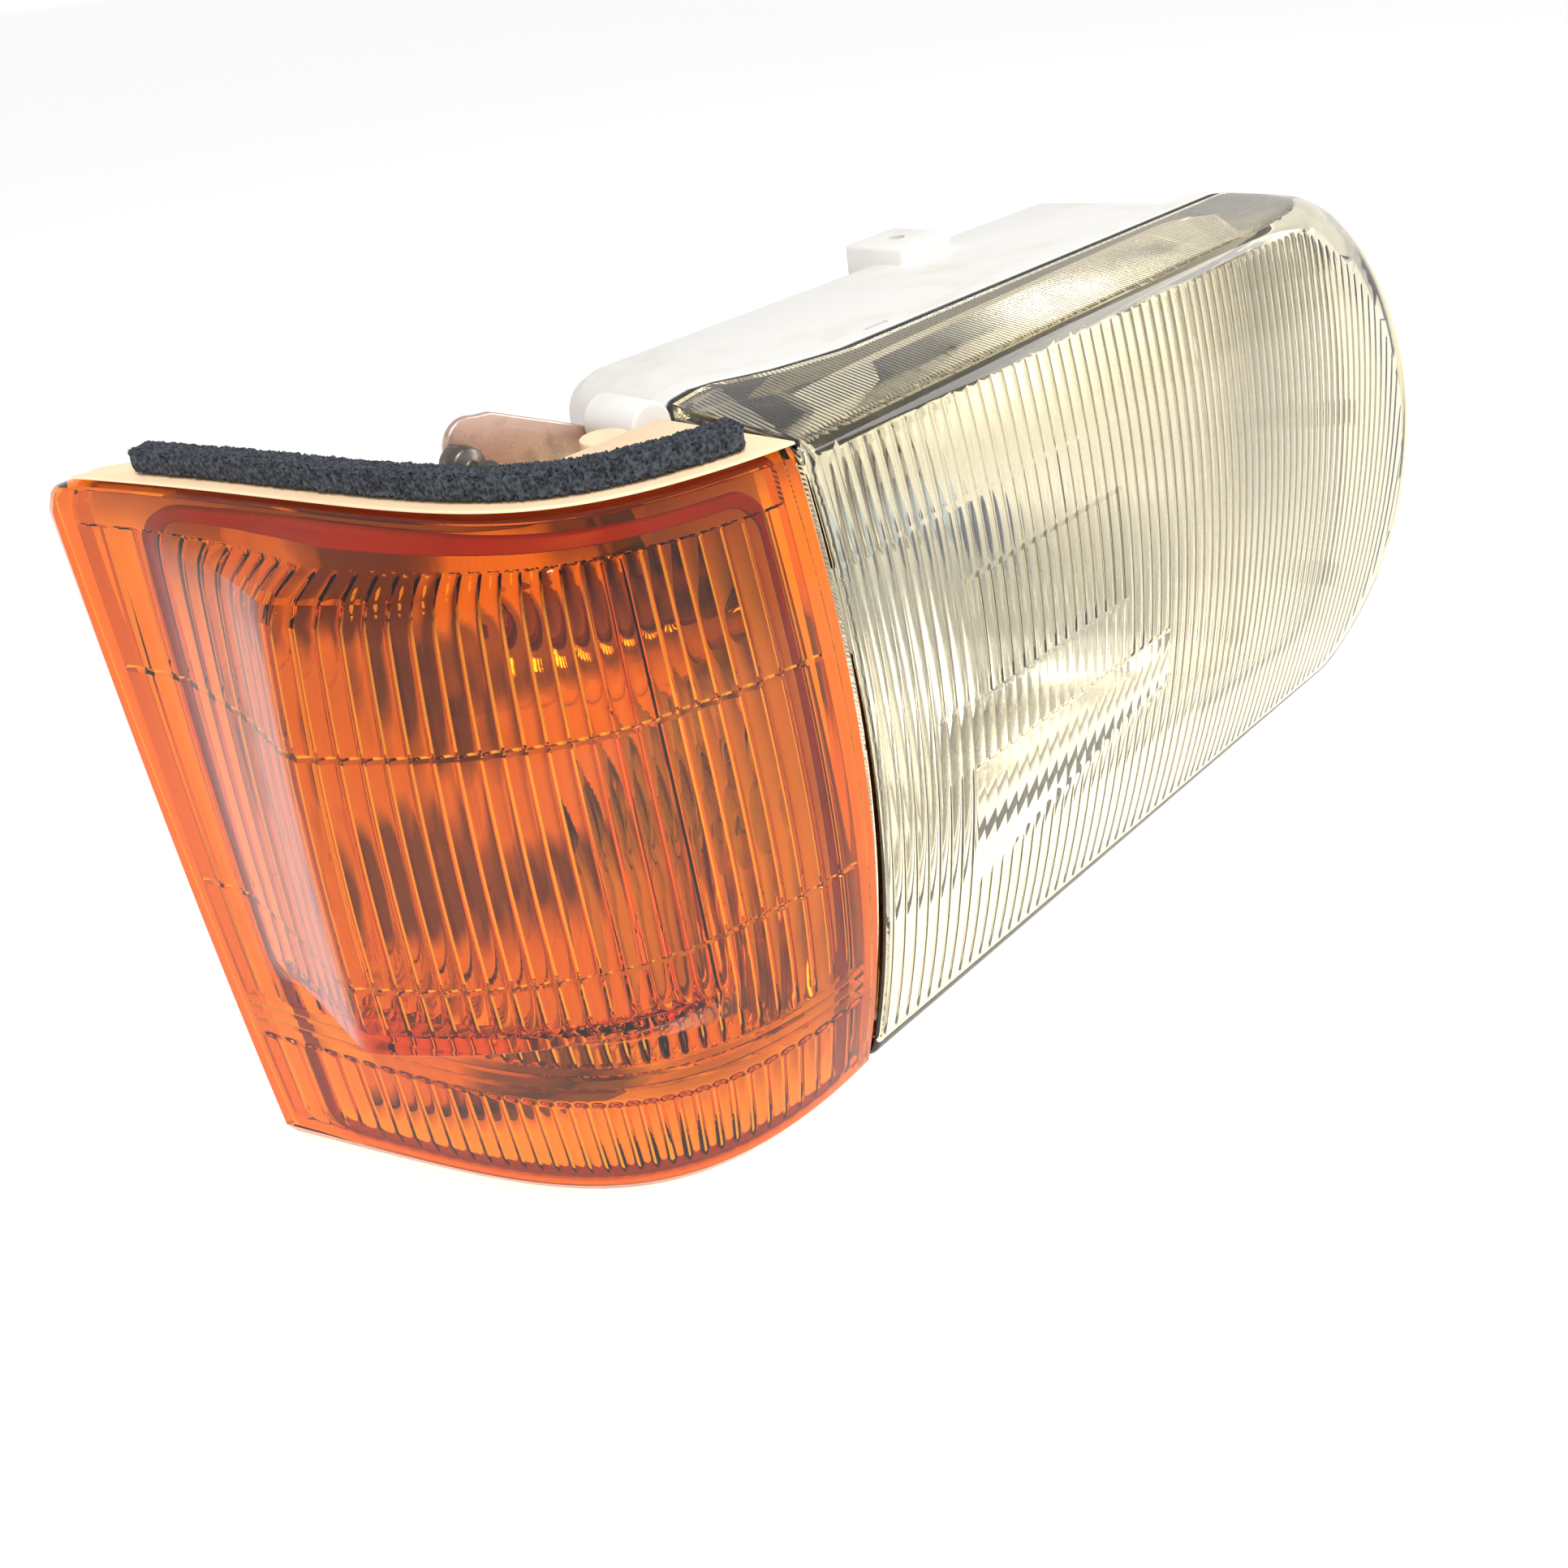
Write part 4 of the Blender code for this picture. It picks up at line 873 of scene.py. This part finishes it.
def bowl_loop(x0, x1, z0, z1, low, reach, corner, y):
    """Loop with the headlamp's outline seen from the front; y is a depth or a function of x."""
    edge = arc(x0 + corner, z0 + corner, corner, corner, 180, 270, 8)
    stations = shares(x0 + corner + 6.0, x0 + corner + 54.0, 9)
    edge += [(x, z0) for x in stations]
    edge += arc(x1 - low[0], z0 + low[1], low[0], low[1], 270, 356, 22)
    edge += arc(x1 - reach, z0 + low[1], reach, z1 - z0 - low[1], 0, 90, 36)
    edge += [(x, z1) for x in stations[::-1]]
    edge += arc(x0 + corner, z1 - corner, corner, corner, 90, 180, 8)
    edge += [(x0, z0 + (z1 - z0) * t) for t in (0.75, 0.5, 0.25)]
    return [(x, y(x) if callable(y) else y, z) for x, z in edge]


def rim_loop(inset, gap):
    """Loop along the rear edge of the lens."""
    low = (LOW_CORNER[0] - inset * 0.7, LOW_CORNER[1] - inset)
    return bowl_loop(8.0 + inset, INNER_END - inset, inset, HEIGHT - inset, low,
                     TOP_CORNER[0] - inset * 0.7, 3.0, lambda x: rim_back(x) + gap)


def bowl_ring(inset, y):
    """Loop of the headlamp housing behind its rim, on one depth."""
    low = (LOW_CORNER[0], LOW_CORNER[1] - 4 - inset)
    return bowl_loop(24.0 + inset, 258.0 - inset, 4.0 + inset, 146.0 - inset, low,
                     TOP_CORNER[0] - 6, 8.0, y)


def round_neck(reach, start):
    """Three places round the neck, the first of them at an angle in degrees."""
    angles = [math.radians(start + 120 * i) for i in range(3)]
    return [(AXIS_X + reach * math.cos(a), 0, AXIS_Z + reach * math.sin(a)) for a in angles]


def headlamp_shell():
    """White bowl with its rim channel, neck, lugs, ears and boss."""
    rings = [
        bowl_ring(12.5, REAR_Y), bowl_ring(10.0, REAR_Y - 0.2), bowl_ring(7.6, REAR_Y - 1.4),
        bowl_ring(6.0, REAR_Y - 3.4), bowl_ring(1.5, 98.0), bowl_ring(0.9, 96.0), bowl_ring(0.0, 61.0),
        bowl_ring(0.0, 58.6), rim_loop(2.8, 10.5), rim_loop(2.8, 8.9), rim_loop(2.5, 8.6), rim_loop(0.5, 8.4),
        rim_loop(0.2, 8.1), rim_loop(0.2, 3.9), rim_loop(0.5, 3.6), rim_loop(3.9, 3.6), rim_loop(4.3, 3.9),
        rim_loop(5.8, 7.5), bowl_ring(3.0, 57.0), bowl_ring(4.5, 97.0), bowl_ring(12.0, REAR_Y - 3.0)]
    body = ring_solid("headlamp_shell", rings, WHITE)
    neck = [(40.5, REAR_Y - 1.5), (40.5, REAR_Y + 14.0), (NECK_R, REAR_Y + 14.0), (NECK_R, REAR_Y - 1.5)]
    fuse(body, turned("neck_tube", neck, BULB_AXIS, WHITE, sides=96, radius=0.8))
    for place in round_neck(NECK_R + 0.5, 30):
        fuse(body, rod("neck_lug", 2.6, 118.0, 121.0, place, WHITE, sides=20))
    fuse(body, rod("corner_boss", 5.5, 43.5, 59.6, (2.4, 0, 146.5), WHITE, sides=48, radius=1.0))
    fuse(body, bar("boss_web", (2.0, 51.0, 143.0), (12.0, 58.0, 148.0), WHITE, 0.8))
    fuse(body, bar("bracket_pad", (8.5, 53.0, 117.0), (20.0, 59.6, 139.0), WHITE, 0.8))
    ears = ((70.0, 0.0, -2.0, 4.2), (200.0, 0.0, -2.0, 4.2), (145.0, 138.0, 7.0, 14.0))
    for x, z, low, high in ears:
        fuse(body, bar("ear", (x - 11.0, 86.0, z), (x + 11.0, 107.0, z + 12.0), WHITE, 1.2))
        bore(body, 2.4, low, high, (x, 97.0, z), axis="Z", sides=24)
    for i in range(6):
        x = 52.0 + 34.0 * i
        if abs(x - AXIS_X) > 60:
            fuse(body, bar("rib", (x - 0.9, 60.0, 4.5), (x + 0.9, 110.5, 16.0), WHITE, 0.4))
    cut(body, bar("rim_slot", (66.0, 40.5, 130.0), (74.0, 41.8, 160.0), WHITE))
    for name in ("horizontal", "vertical"):
        bore(body, 4.9, 100.0, 120.0, ADJUSTERS[name], sides=32)
    bore(body, 42.5, 90.0, 140.0, BULB_AXIS, sides=96)
    return show(body, "lamp_body", "white_plastic", "headlamp_housing")


def seal_bead():
    """Black bead between the lens and the housing."""
    outline = ((0.5, 0.7), (0.35, 1.2), (0.35, 2.6), (0.5, 3.1), (0.9, 3.35), (4.0, 3.35), (4.4, 2.9),
               (4.4, 0.9), (4.0, 0.5), (0.9, 0.5))
    bead = ring_solid("seal_bead", [rim_loop(*pair) for pair in outline], RUBBER, closed=True)
    return show(bead, "lamp_body", "black_rubber", "lens_seal")


LIP_DEPTH = 0.4                # how far behind the lens's face the tray's lip ends
LIP_LOW = HEIGHT + 0.35
LIP_TOP = HEIGHT + 0.9
FOAM_START = 0.045             # ends of the foam strip, as shares of the plan curve
FOAM_END = 0.95
FOAM_MIDDLE = 6.5              # depth of its middle behind the lens's face
FOAM_RISE = 3.8                # height of its middle above the lens
FOAM_HALF = (3.4, 2.7)         # half of its width and of its thickness
FOAM_BUMPS = ((0.7, 0.30), (2.3, 0.5), (5.1, 0.3))  # fineness and height of the skin's noises
FOAM_SQUARE = 0.35             # how squarely its round section fills out to its corners


def corner_tray():
    """Cream tray behind the amber lens with its lip, peg, tab and socket pad."""
    columns = shares(0.0, 1.0, 73)
    front = []
    back = []
    for z in sorted(shares(0.3, LIP_LOW, 25) + [1.0]):
        edge = round_over(z - 0.3, 0.7)
        front.append([corner_face(s, z, 7.3 + edge) for s in columns])
        back.append([corner_wall(s, z, edge) for s in columns])
    middle = (LIP_LOW + LIP_TOP) / 2
    lip = [(LIP_LOW, 0.13), (LIP_LOW + 0.04, 0.04), (LIP_LOW + 0.13, 0.0), (LIP_TOP - 0.13, 0.0),
           (LIP_TOP - 0.04, 0.04), (LIP_TOP, 0.13)]
    for i, (z, back_off) in enumerate(lip):
        front.append([corner_face(s, z, LIP_DEPTH + back_off) for s in columns])
        back.append([corner_wall(s, middle + (LIP_TOP - middle) * i / 5, back_off) for s in columns])
    body = sheet_solid("corner_tray", front, back, CREAM)
    peg = [(0, 42.0), (3.6, 42.0), (3.6, 66.0), (2.4, 70.0), (0, 70.0)]
    fuse(body, turned("corner_peg", peg, (-46.0, 0, 148.5 - 3.6), CREAM, sides=32, radius=0.8))
    tab = (-13.0, 40.0, HEIGHT)
    fuse(body, rod("corner_tab", 5.0, -2.4, 0.4, tab, CREAM, axis="Z", sides=40, radius=0.5))
    fuse(body, rod("socket_pad", 17.0, 35.6, 41.5, CORNER_BULB, CREAM, radius=1.0))
    rows = shares(2.8, HEIGHT - 2.8, 25)
    near = skin(rows, shares(0.03, 0.975, 73), lambda s, z: corner_face(s, z, 4.0))
    far = skin(rows, shares(0.06, 0.94, 73), lambda s, z: corner_wall(s, z, 2.4))
    cut(body, sheet_solid("corner_hollow", near, far, CREAM))
    bore(body, 12.0, 20.0, 80.0, CORNER_BULB)
    return show(body, "corner_lamp", "cream_plastic", "corner_housing")


def foam_seal():
    """Open-cell strip along the top of the corner lamp, narrowed at its ends, with pores in its skin."""
    steps = 640
    around = 44
    rings = []
    for i in range(steps + 1):
        s = FOAM_START + (FOAM_END - FOAM_START) * i / steps
        end = min(i, steps - i) / 4.0
        centre = Vector(corner_face(s, HEIGHT, FOAM_MIDDLE)[:2] + (HEIGHT + FOAM_RISE,))
        shrink = 0.82 if end < 0.5 else 1.0
        ring = []
        for k in range(around):
            angle = 2 * math.pi * k / around
            across = math.copysign(abs(math.cos(angle)) ** FOAM_SQUARE, math.cos(angle))
            up = math.copysign(abs(math.sin(angle)) ** FOAM_SQUARE, math.sin(angle))
            flat = corner_face(s, HEIGHT, FOAM_MIDDLE - FOAM_HALF[0] * across)[:2]
            place = Vector(flat + (HEIGHT + FOAM_RISE + FOAM_HALF[1] * up,))
            rough = sum(noise.noise(place * scale) * size for scale, size in FOAM_BUMPS)
            pores = max(0.0, noise.noise(place * 1.9 + Vector((9, 4, 7))) - 0.20) * 1.9
            out = (place - centre).normalized()
            ring.append(centre + (place - centre) * shrink + out * (rough - pores - 0.3))
        rings.append([tuple(p) for p in ring])
    strip = ring_solid("foam_seal", rings, FOAM)
    strip = show(strip, "corner_lamp", "black_foam", "foam_strip", angle=60.0)
    return strip


# ---------------- reflectors and bulbs


def dish_top(x):
    """Upper edge of the bowl, which drops under the housing's curved inner corner."""
    reach = min(1.0, max(0.0, x - (INNER_END - CREASE_CORNER[0])) / 86.0)
    return min(137.0, 48.0 + 91.0 * math.sqrt(1 - reach * reach))


def dish_depth(x, z):
    """Y of the parabola, which is cut off where it reaches the flat surround."""
    square = (x - AXIS_X) ** 2 + (z - AXIS_Z) ** 2
    return max(VERTEX_Y - square / (4 * FOCAL), 45.0)


def dish_sheets(offset, front_y):
    """Front and back sheets of the parabolic bowl."""
    def place(x, t):
        return (x, 13.0 - offset + (dish_top(x) + 2 * offset - 13.0) * t)

    grid = skin(shares(0.0, 1.0, 71), shares(34.0 - offset, 206.0 + offset, 91), place)
    front = [[(x, front_y, z) for x, z in line] for line in grid]
    back = [[(x, dish_depth(x, z) + offset, z) for x, z in line] for line in grid]
    return front, back


def bright_bowl():
    """Aluminised bowl with its bulb collar and the towers behind it."""
    body = sheet_solid("bright_bowl", *dish_sheets(2.0, 40.0), SILVER)
    px, py, pz = PIVOT
    tower = [(0, 46.0), (10.5, 46.0), (10.5, py + 2.5), (7.44, py + 2.5)]
    tower += [(7.85 * math.cos(t), py - 7.85 * math.sin(t)) for t in (0.0, 0.5, 1.0, 1.35)]
    tower += [(0, py - 7.85)]
    fuse(body, turned("pivot_tower", tower, (px, 0, pz), SILVER, sides=40, radius=0))
    nut_tower = [(0, 46.0), (7.0, 46.0), (7.0, 74.6), (4.2, 74.6), (4.2, 49.0), (0, 49.0)]
    for name in ("vertical", "horizontal"):
        fuse(body, turned("nut_tower", nut_tower, ADJUSTERS[name], SILVER, sides=32, radius=0))
    parking = (AXIS_X + 24.0, 0, AXIS_Z - 24.0)
    bore(body, 6.0, 60, 105, parking, sides=40)
    fuse(body, rod("bulb_collar", 25.0, 95.0, 108.1, BULB_AXIS, SILVER, radius=0.5))
    for side in (-1, 1):
        x = AXIS_X + side * 22.0
        fuse(body, bar("hinge_lug", (x - 1.5, 100.0, 92.0), (x + 1.5, 115.0, 102.0), SILVER))
    cut(body, sheet_solid("dish_hollow", *dish_sheets(0.0, 30.0), SILVER))
    bore(body, 16.0, 80, 120, BULB_AXIS)
    hinge = (0, 112.5, 99.0)
    bore(body, 1.3, AXIS_X - 40, AXIS_X + 40, hinge, axis="X", sides=16)
    return show(body, "reflector_unit", "aluminised_plastic", "reflector")


def main_bulb():
    """Glass and flanged base of the two-filament bulb."""
    tube = [(0, 60.0), (3.5, 60.6), (6.5, 62.5), (8.2, 66.0), (8.2, 98.0), (7.3, 98.0), (7.3, 66.5),
            (5.9, 63.5), (3.2, 61.6), (0, 61.1)]
    bulb = turned("bulb_tube", tube, BULB_AXIS, BULB, radius=1.2)
    bulb.visible_shadow = False
    show(bulb, "reflector_unit", "clear_glass", "headlamp_bulb_glass", angle=60)
    tip = [(0, 59.9), (3.6, 60.4), (6.6, 62.3), (8.35, 65.9), (8.35, 71.0), (0, 71.0)]
    show(turned("bulb_tip", tip, BULB_AXIS, TIP, radius=1.2), "reflector_unit", "plated_steel", angle=60)
    base = [(0, 98.4), (11.0, 98.4), (14.5, 101.0), (14.5, 108.4), (21.5, 108.4), (21.5, 110.0),
            (10.5, 110.0), (10.5, 115.5), (0, 115.5)]
    body = turned("bulb_cap", base, BULB_AXIS, STEEL, radius=0.5)
    fuse(body, bar("pin_top", (AXIS_X - 4.0, 112.0, 84.0), (AXIS_X + 4.0, 124.0, 85.0), STEEL, 0.2))
    for side in (-1, 1):
        x = AXIS_X + side * 8.5
        fuse(body, bar("pin", (x - 0.5, 112.0, 70.0), (x + 0.5, 124.0, 78.0), STEEL, 0.2))
    show(body, "reflector_unit", "plated_steel", "headlamp_bulb_base")


def liner_point(s, z, depth):
    """Point of the liner: it follows the tray's wall, and dips into a bowl round the bulb."""
    x, y, z = corner_wall(s, z, depth)
    reach = math.hypot(x - CORNER_BULB[0], z - CORNER_BULB[2])
    bowl = 35.0 - depth - reach * reach / 76.0
    lip = corner_face(max(0.0, min(1.0, s)), z, 15.0)[1] - depth
    back = smooth_step(reach, 47.0, 57.0)
    return (x, min(y, max(bowl, lip) * (1 - back) + y * back), z)


def corner_liner():
    """Bright liner inside the corner tray."""
    rows = shares(8.0, 142.0, 91)
    columns = shares(0.10, 0.90, 121)
    front = skin(rows, columns, lambda s, z: liner_point(s, z, 5.2))
    back = skin(rows, columns, lambda s, z: liner_point(s, z, 3.7))
    liner = sheet_solid("corner_liner", front, back, BRIGHT)
    bore(liner, 12.5, -20.0, 80.0, CORNER_BULB)
    return show(liner, "corner_lamp", "aluminised_plastic", "corner_reflector")


def corner_light():
    """Socket and bulb of the corner lamp."""
    def grip(angle, reach, height):
        return 1.0 + (0.025 * math.cos(12 * angle) if height > 48 and reach > 10 else 0.0)

    socket = [(0, 33.0), (10.5, 33.0), (10.5, 44.5), (15.0, 44.5), (15.0, 47.5), (11.2, 47.5),
              (11.2, 60.0), (0, 60.0)]
    body = turned("bulb_socket", socket, CORNER_BULB, NYLON, sides=96, wave=grip)
    bore(body, 7.9, 30.0, 44.0, CORNER_BULB)
    cut(body, bar("socket_mouth", (-30.0, 50.0, 70.0), (-18.0, 70.0, 80.0), NYLON, 0.8))
    show(body, "corner_bulb_unit", "white_nylon", "corner_socket")
    cup = rod("corner_bulb_cup", 7.5, 26.0, 43.6, CORNER_BULB, STEEL)
    show(cup, "corner_bulb_unit", "plated_steel", "corner_bulb_base")
    bulb = [(0, 3.0), (5.5, 4.5), (8.6, 8.5), (8.9, 13.0), (6.6, 20.0), (6.6, 25.6), (5.9, 25.6),
            (5.9, 20.0), (8.2, 13.0), (7.9, 9.0), (5.0, 5.2), (0, 3.9)]
    globe = turned("corner_globe", bulb, CORNER_BULB, BULB, radius=2.0)
    globe.visible_shadow = False
    show(globe, "corner_bulb_unit", "clear_glass", "corner_bulb_glass", angle=60)
    ring = [(11.9, 41.8), (15.0, 41.8), (15.0, 44.2), (11.9, 44.2)]
    seal = turned("socket_ring", ring, CORNER_BULB, RUBBER)
    show(seal, "corner_bulb_unit", "black_rubber", "socket_seal")


# ---------------- fittings


def seam_bracket():
    """Pressed plate behind the seam, with the ball stud and its two screws."""
    outline = [(21.0, 117.0), (21.0, 135.0), (6.0, 143.0)]
    outline += [(-24.0, 156.0)] + arc(-30.0, 150.8, 6.0, 6.0, 70, 180, 12)
    outline += [(-38.0, 149.0), (-40.0, 138.0), (-34.0, 134.0), (-4.0, 124.0), (6.0, 117.0)]
    bracket = soften(plate("seam_bracket", outline[::-1], 60.0, 62.0, BRONZE), 0.5, 3, 50.0)
    screws = [(BRACKET_SCREW_X, 0, z) for z in BRACKET_SCREW_Z]
    for place in screws:
        bore(bracket, 2.3, 50.0, 70.0, place, sides=32)
    show(bracket, "lamp_body", "bracket_steel", "side_bracket")
    stud = [(0, -14.5), (1.5, -14.1), (2.4, -13.0), (2.6, -11.8), (2.2, -10.2), (1.5, -9.0), (1.5, -6.5),
            (3.9, -5.5), (4.3, -3.6), (3.9, -0.3), (0, -0.3)]
    show(turned("stud_ball", stud, STUD_BALL, DARK_STEEL, sides=48, radius=0.5),
         "lamp_body", "plated_steel", "ball_stud", angle=50)
    head = [(0, 60.2), (1.9, 60.2), (1.9, 62.3), (3.8, 62.3), (3.6, 63.6), (2.4, 64.4), (0, 64.6)]
    for i, place in enumerate(screws):
        x, _, z = place
        screw = turned("bracket_rivet_%d" % (i + 1), head, place, STEEL, sides=40, radius=0.3)
        for across, up in ((2.5, 0.35), (0.35, 2.5)):
            cut(screw, bar("screw_slot", (x - across, 63.8, z - up), (x + across, 66.0, z + up), STEEL))
        show(screw, "lamp_body", "plated_steel", "bracket_screw_%d" % (i + 1))


def adjusters():
    """Two adjusting screws with scalloped knobs."""
    def scallop(angle, reach, height):
        return 1.0 - (0.05 * (1 + math.cos(12 * angle)) / 2 if height > 116.4 and reach > 7 else 0.0)

    screw = [(0, 57.0), (1.2, 57.0), (2.0, 58.5), (2.0, 115.8), (9.0, 115.8), (9.0, 124.0), (0, 124.0)]
    for name, place in ADJUSTERS.items():
        x, _, z = place
        knob = turned(name + "_knob", screw, place, NYLON, sides=96, radius=0.8, wave=scallop)
        for across, up in ((6.0, 0.9), (0.9, 6.0)):
            cut(knob, bar("knob_slot", (x - across, 121.0, z - up), (x + across, 127.0, z + up), NYLON))
        show(knob, name + "_screw", "white_nylon", name + "_adjuster")


def rear_cover():
    """Bayonet cap with its grip bar, fluted skirt and cable gland."""
    def flute(angle, reach, height):
        return 1.0 - (0.012 * max(0.0, math.cos(36 * angle)) if reach > 50 and height > 117 else 0.0)

    skirt = [(0, 154.5), (38.0, 154.5), (43.5, 150.0), (43.5, 128.6), (49.9, 128.6), (49.9, 117.6),
             (47.2, 117.6), (47.2, 115.0), (52.0, 115.0), (52.0, 131.0), (46.0, 133.0), (46.0, 151.0),
             (39.0, 157.0), (0, 157.0)]
    cap = turned("rear_cover", skirt, BULB_AXIS, WHITE, sides=288, radius=0.9, wave=flute)
    low = (AXIS_X - 30.0, 155.5, AXIS_Z - 4.0)
    fuse(cap, bar("cap_grip", low, (AXIS_X + 30.0, 162.0, AXIS_Z + 4.0), WHITE, 1.2))
    for place in round_neck(NECK_R, 90):
        bore(cap, 5.0, 110.0, 119.0, place, sides=24)
    gland = (AXIS_X, 0, AXIS_Z - 24.0)
    bore(cap, 5.5, 150.0, 160.0, gland, sides=32)
    show(cap, "cap", "white_plastic", "rear_cap")
    grommet = [(2.6, 152.0), (7.0, 152.0), (7.0, 154.2), (5.2, 154.2), (5.2, 157.3), (7.0, 157.3),
               (6.4, 160.5), (2.6, 160.5)]
    show(turned("gland_grommet", grommet, gland, RUBBER, sides=48), "cap", "black_rubber", "cable_gland")


def breather():
    """Rubber breather on the rear wall."""
    elbow = [(0, 112.4), (7.0, 112.4), (7.0, 114.0), (4.5, 115.0), (4.5, 124.0), (0, 124.0)]
    vent = turned("breather", elbow, VENT, RUBBER, sides=40, radius=0.6)
    bend = (VENT[0], 119.6, VENT[2])
    fuse(vent, rod("vent_spout", 4.4, 0.0, -18.0, bend, RUBBER, axis="Z", sides=40, radius=0.6))
    bore(vent, 2.6, -5.0, -25.0, bend, axis="Z", sides=24)
    show(vent, "lamp_body", "black_rubber", "vent_elbow")


def clip_fork():
    """Nylon fork that grips the ball."""
    x, _, z = STUD_BALL
    fork = bar("clip_fork", (x - 6.0, 46.4, z - 10.0), (x + 6.0, 53.0, z - 0.5), NYLON, 0.7)
    bore(fork, 3.1, 40.0, 60.0, (x, 0, z), sides=40)
    show(fork, "corner_lamp", "white_nylon", "snap_fork")


def paint_kept_nodes():
    """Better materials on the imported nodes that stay."""
    finish = {
        "clear_glass": BULB, "amber_acrylic": AMBER, "white_plastic": WHITE, "cream_plastic": CREAM,
        "black_rubber": RUBBER, "black_foam": FOAM, "aluminised_plastic": SILVER, "plated_steel": STEEL,
        "bracket_steel": BRONZE, "white_nylon": NYLON, "tungsten": TUNGSTEN}
    slots = {part["node"]: part["material_slot"] for part in frame["record"]["subparts"]}
    for name, node in frame["nodes"].items():
        node.data.materials.clear()
        node.data.materials.append(finish[slots[name]])


# ---------------- stage, in metres

FLOOR_HALF = 60
FLOOR_Z = -0.0004              # just under the lamp, so that the two don't share a plane
LAMP_MIDDLE = Vector((0, 0, 0.07))
CAMERA_PLACE = (-0.263979, -0.259426, 0.234967)
CAMERA_RIGHT = Vector((0.68163, -0.72191, -0.11929))
CAMERA_UP = Vector((0.4472, 0.28198, 0.84883))


def aim(light, way):
    """Turn a light to shine a certain way."""
    light.rotation_euler = way.to_track_quat("-Z", "Y").to_euler()


def stage():
    """Pale floor, soft light all round and the camera."""
    scene = bpy.context.scene
    world = bpy.data.worlds.new("studio")
    world.use_nodes = True
    nodes = world.node_tree.nodes
    links = world.node_tree.links
    sky = nodes.new("ShaderNodeTexCoord")
    height = nodes.new("ShaderNodeSeparateXYZ")
    fade = fill(nodes.new("ShaderNodeMapRange"), From_Min=0.02, From_Max=0.45, To_Min=1.0, To_Max=0.5)
    links.new(sky.outputs["Generated"], height.inputs["Vector"])
    links.new(height.outputs["Z"], fade.inputs["Value"])
    links.new(fade.outputs["Result"], nodes["Background"].inputs["Strength"])
    fill(nodes["Background"], Color=(1.0, 1.0, 1.0, 1.0))
    scene.world = world
    mesh = bpy.data.meshes.new("floor")
    mesh.from_pydata([(x * FLOOR_HALF, y * FLOOR_HALF, 0) for x, y in ((-1, -1), (1, -1), (1, 1), (-1, 1))],
                     [], [(0, 1, 2, 3)])
    mesh.materials.append(Paint("floor_paper", (0.93, 0.93, 0.93), 0.7).mat)
    floor = placed("floor", mesh)
    floor.location.z = FLOOR_Z
    sun = bpy.data.lights.new("sky_light", "SUN")
    sun.energy = 1.9
    sun.angle = math.radians(22.0)
    aim(placed("sky_light", sun), Vector((0.25, 0.45, -1.0)))
    for name, place, power in (("key", (-0.6, -0.9, 0.9), 7.0), ("side", (1.1, -0.6, 0.7), 5.0)):
        lamp = bpy.data.lights.new(name, "AREA")
        lamp.size = 0.6
        lamp.energy = power
        light = placed(name, lamp)
        light.location = place
        light.visible_glossy = name == "side"
        light.visible_transmission = name == "side"
        aim(light, LAMP_MIDDLE - Vector(place))
    data = bpy.data.cameras.new("camera")
    data.sensor_width = 36.0
    data.lens = 33.54
    data.clip_start = 0.01
    camera = placed("camera", data)
    turn = Matrix((CAMERA_RIGHT, CAMERA_UP, CAMERA_RIGHT.cross(CAMERA_UP))).transposed().to_4x4()
    camera.matrix_world = Matrix.Translation(CAMERA_PLACE) @ turn
    scene.camera = camera
    scene.view_settings.view_transform = "Standard"


paint_kept_nodes()
for build in (headlamp_glass, seal_bead, headlamp_shell, amber_lens, frame_bead, corner_tray, foam_seal,
              bright_bowl, main_bulb, corner_liner, corner_light, seam_bracket, adjusters, rear_cover,
              breather, clip_fork):
    build()
stage()

bpy.context.view_layer.update()
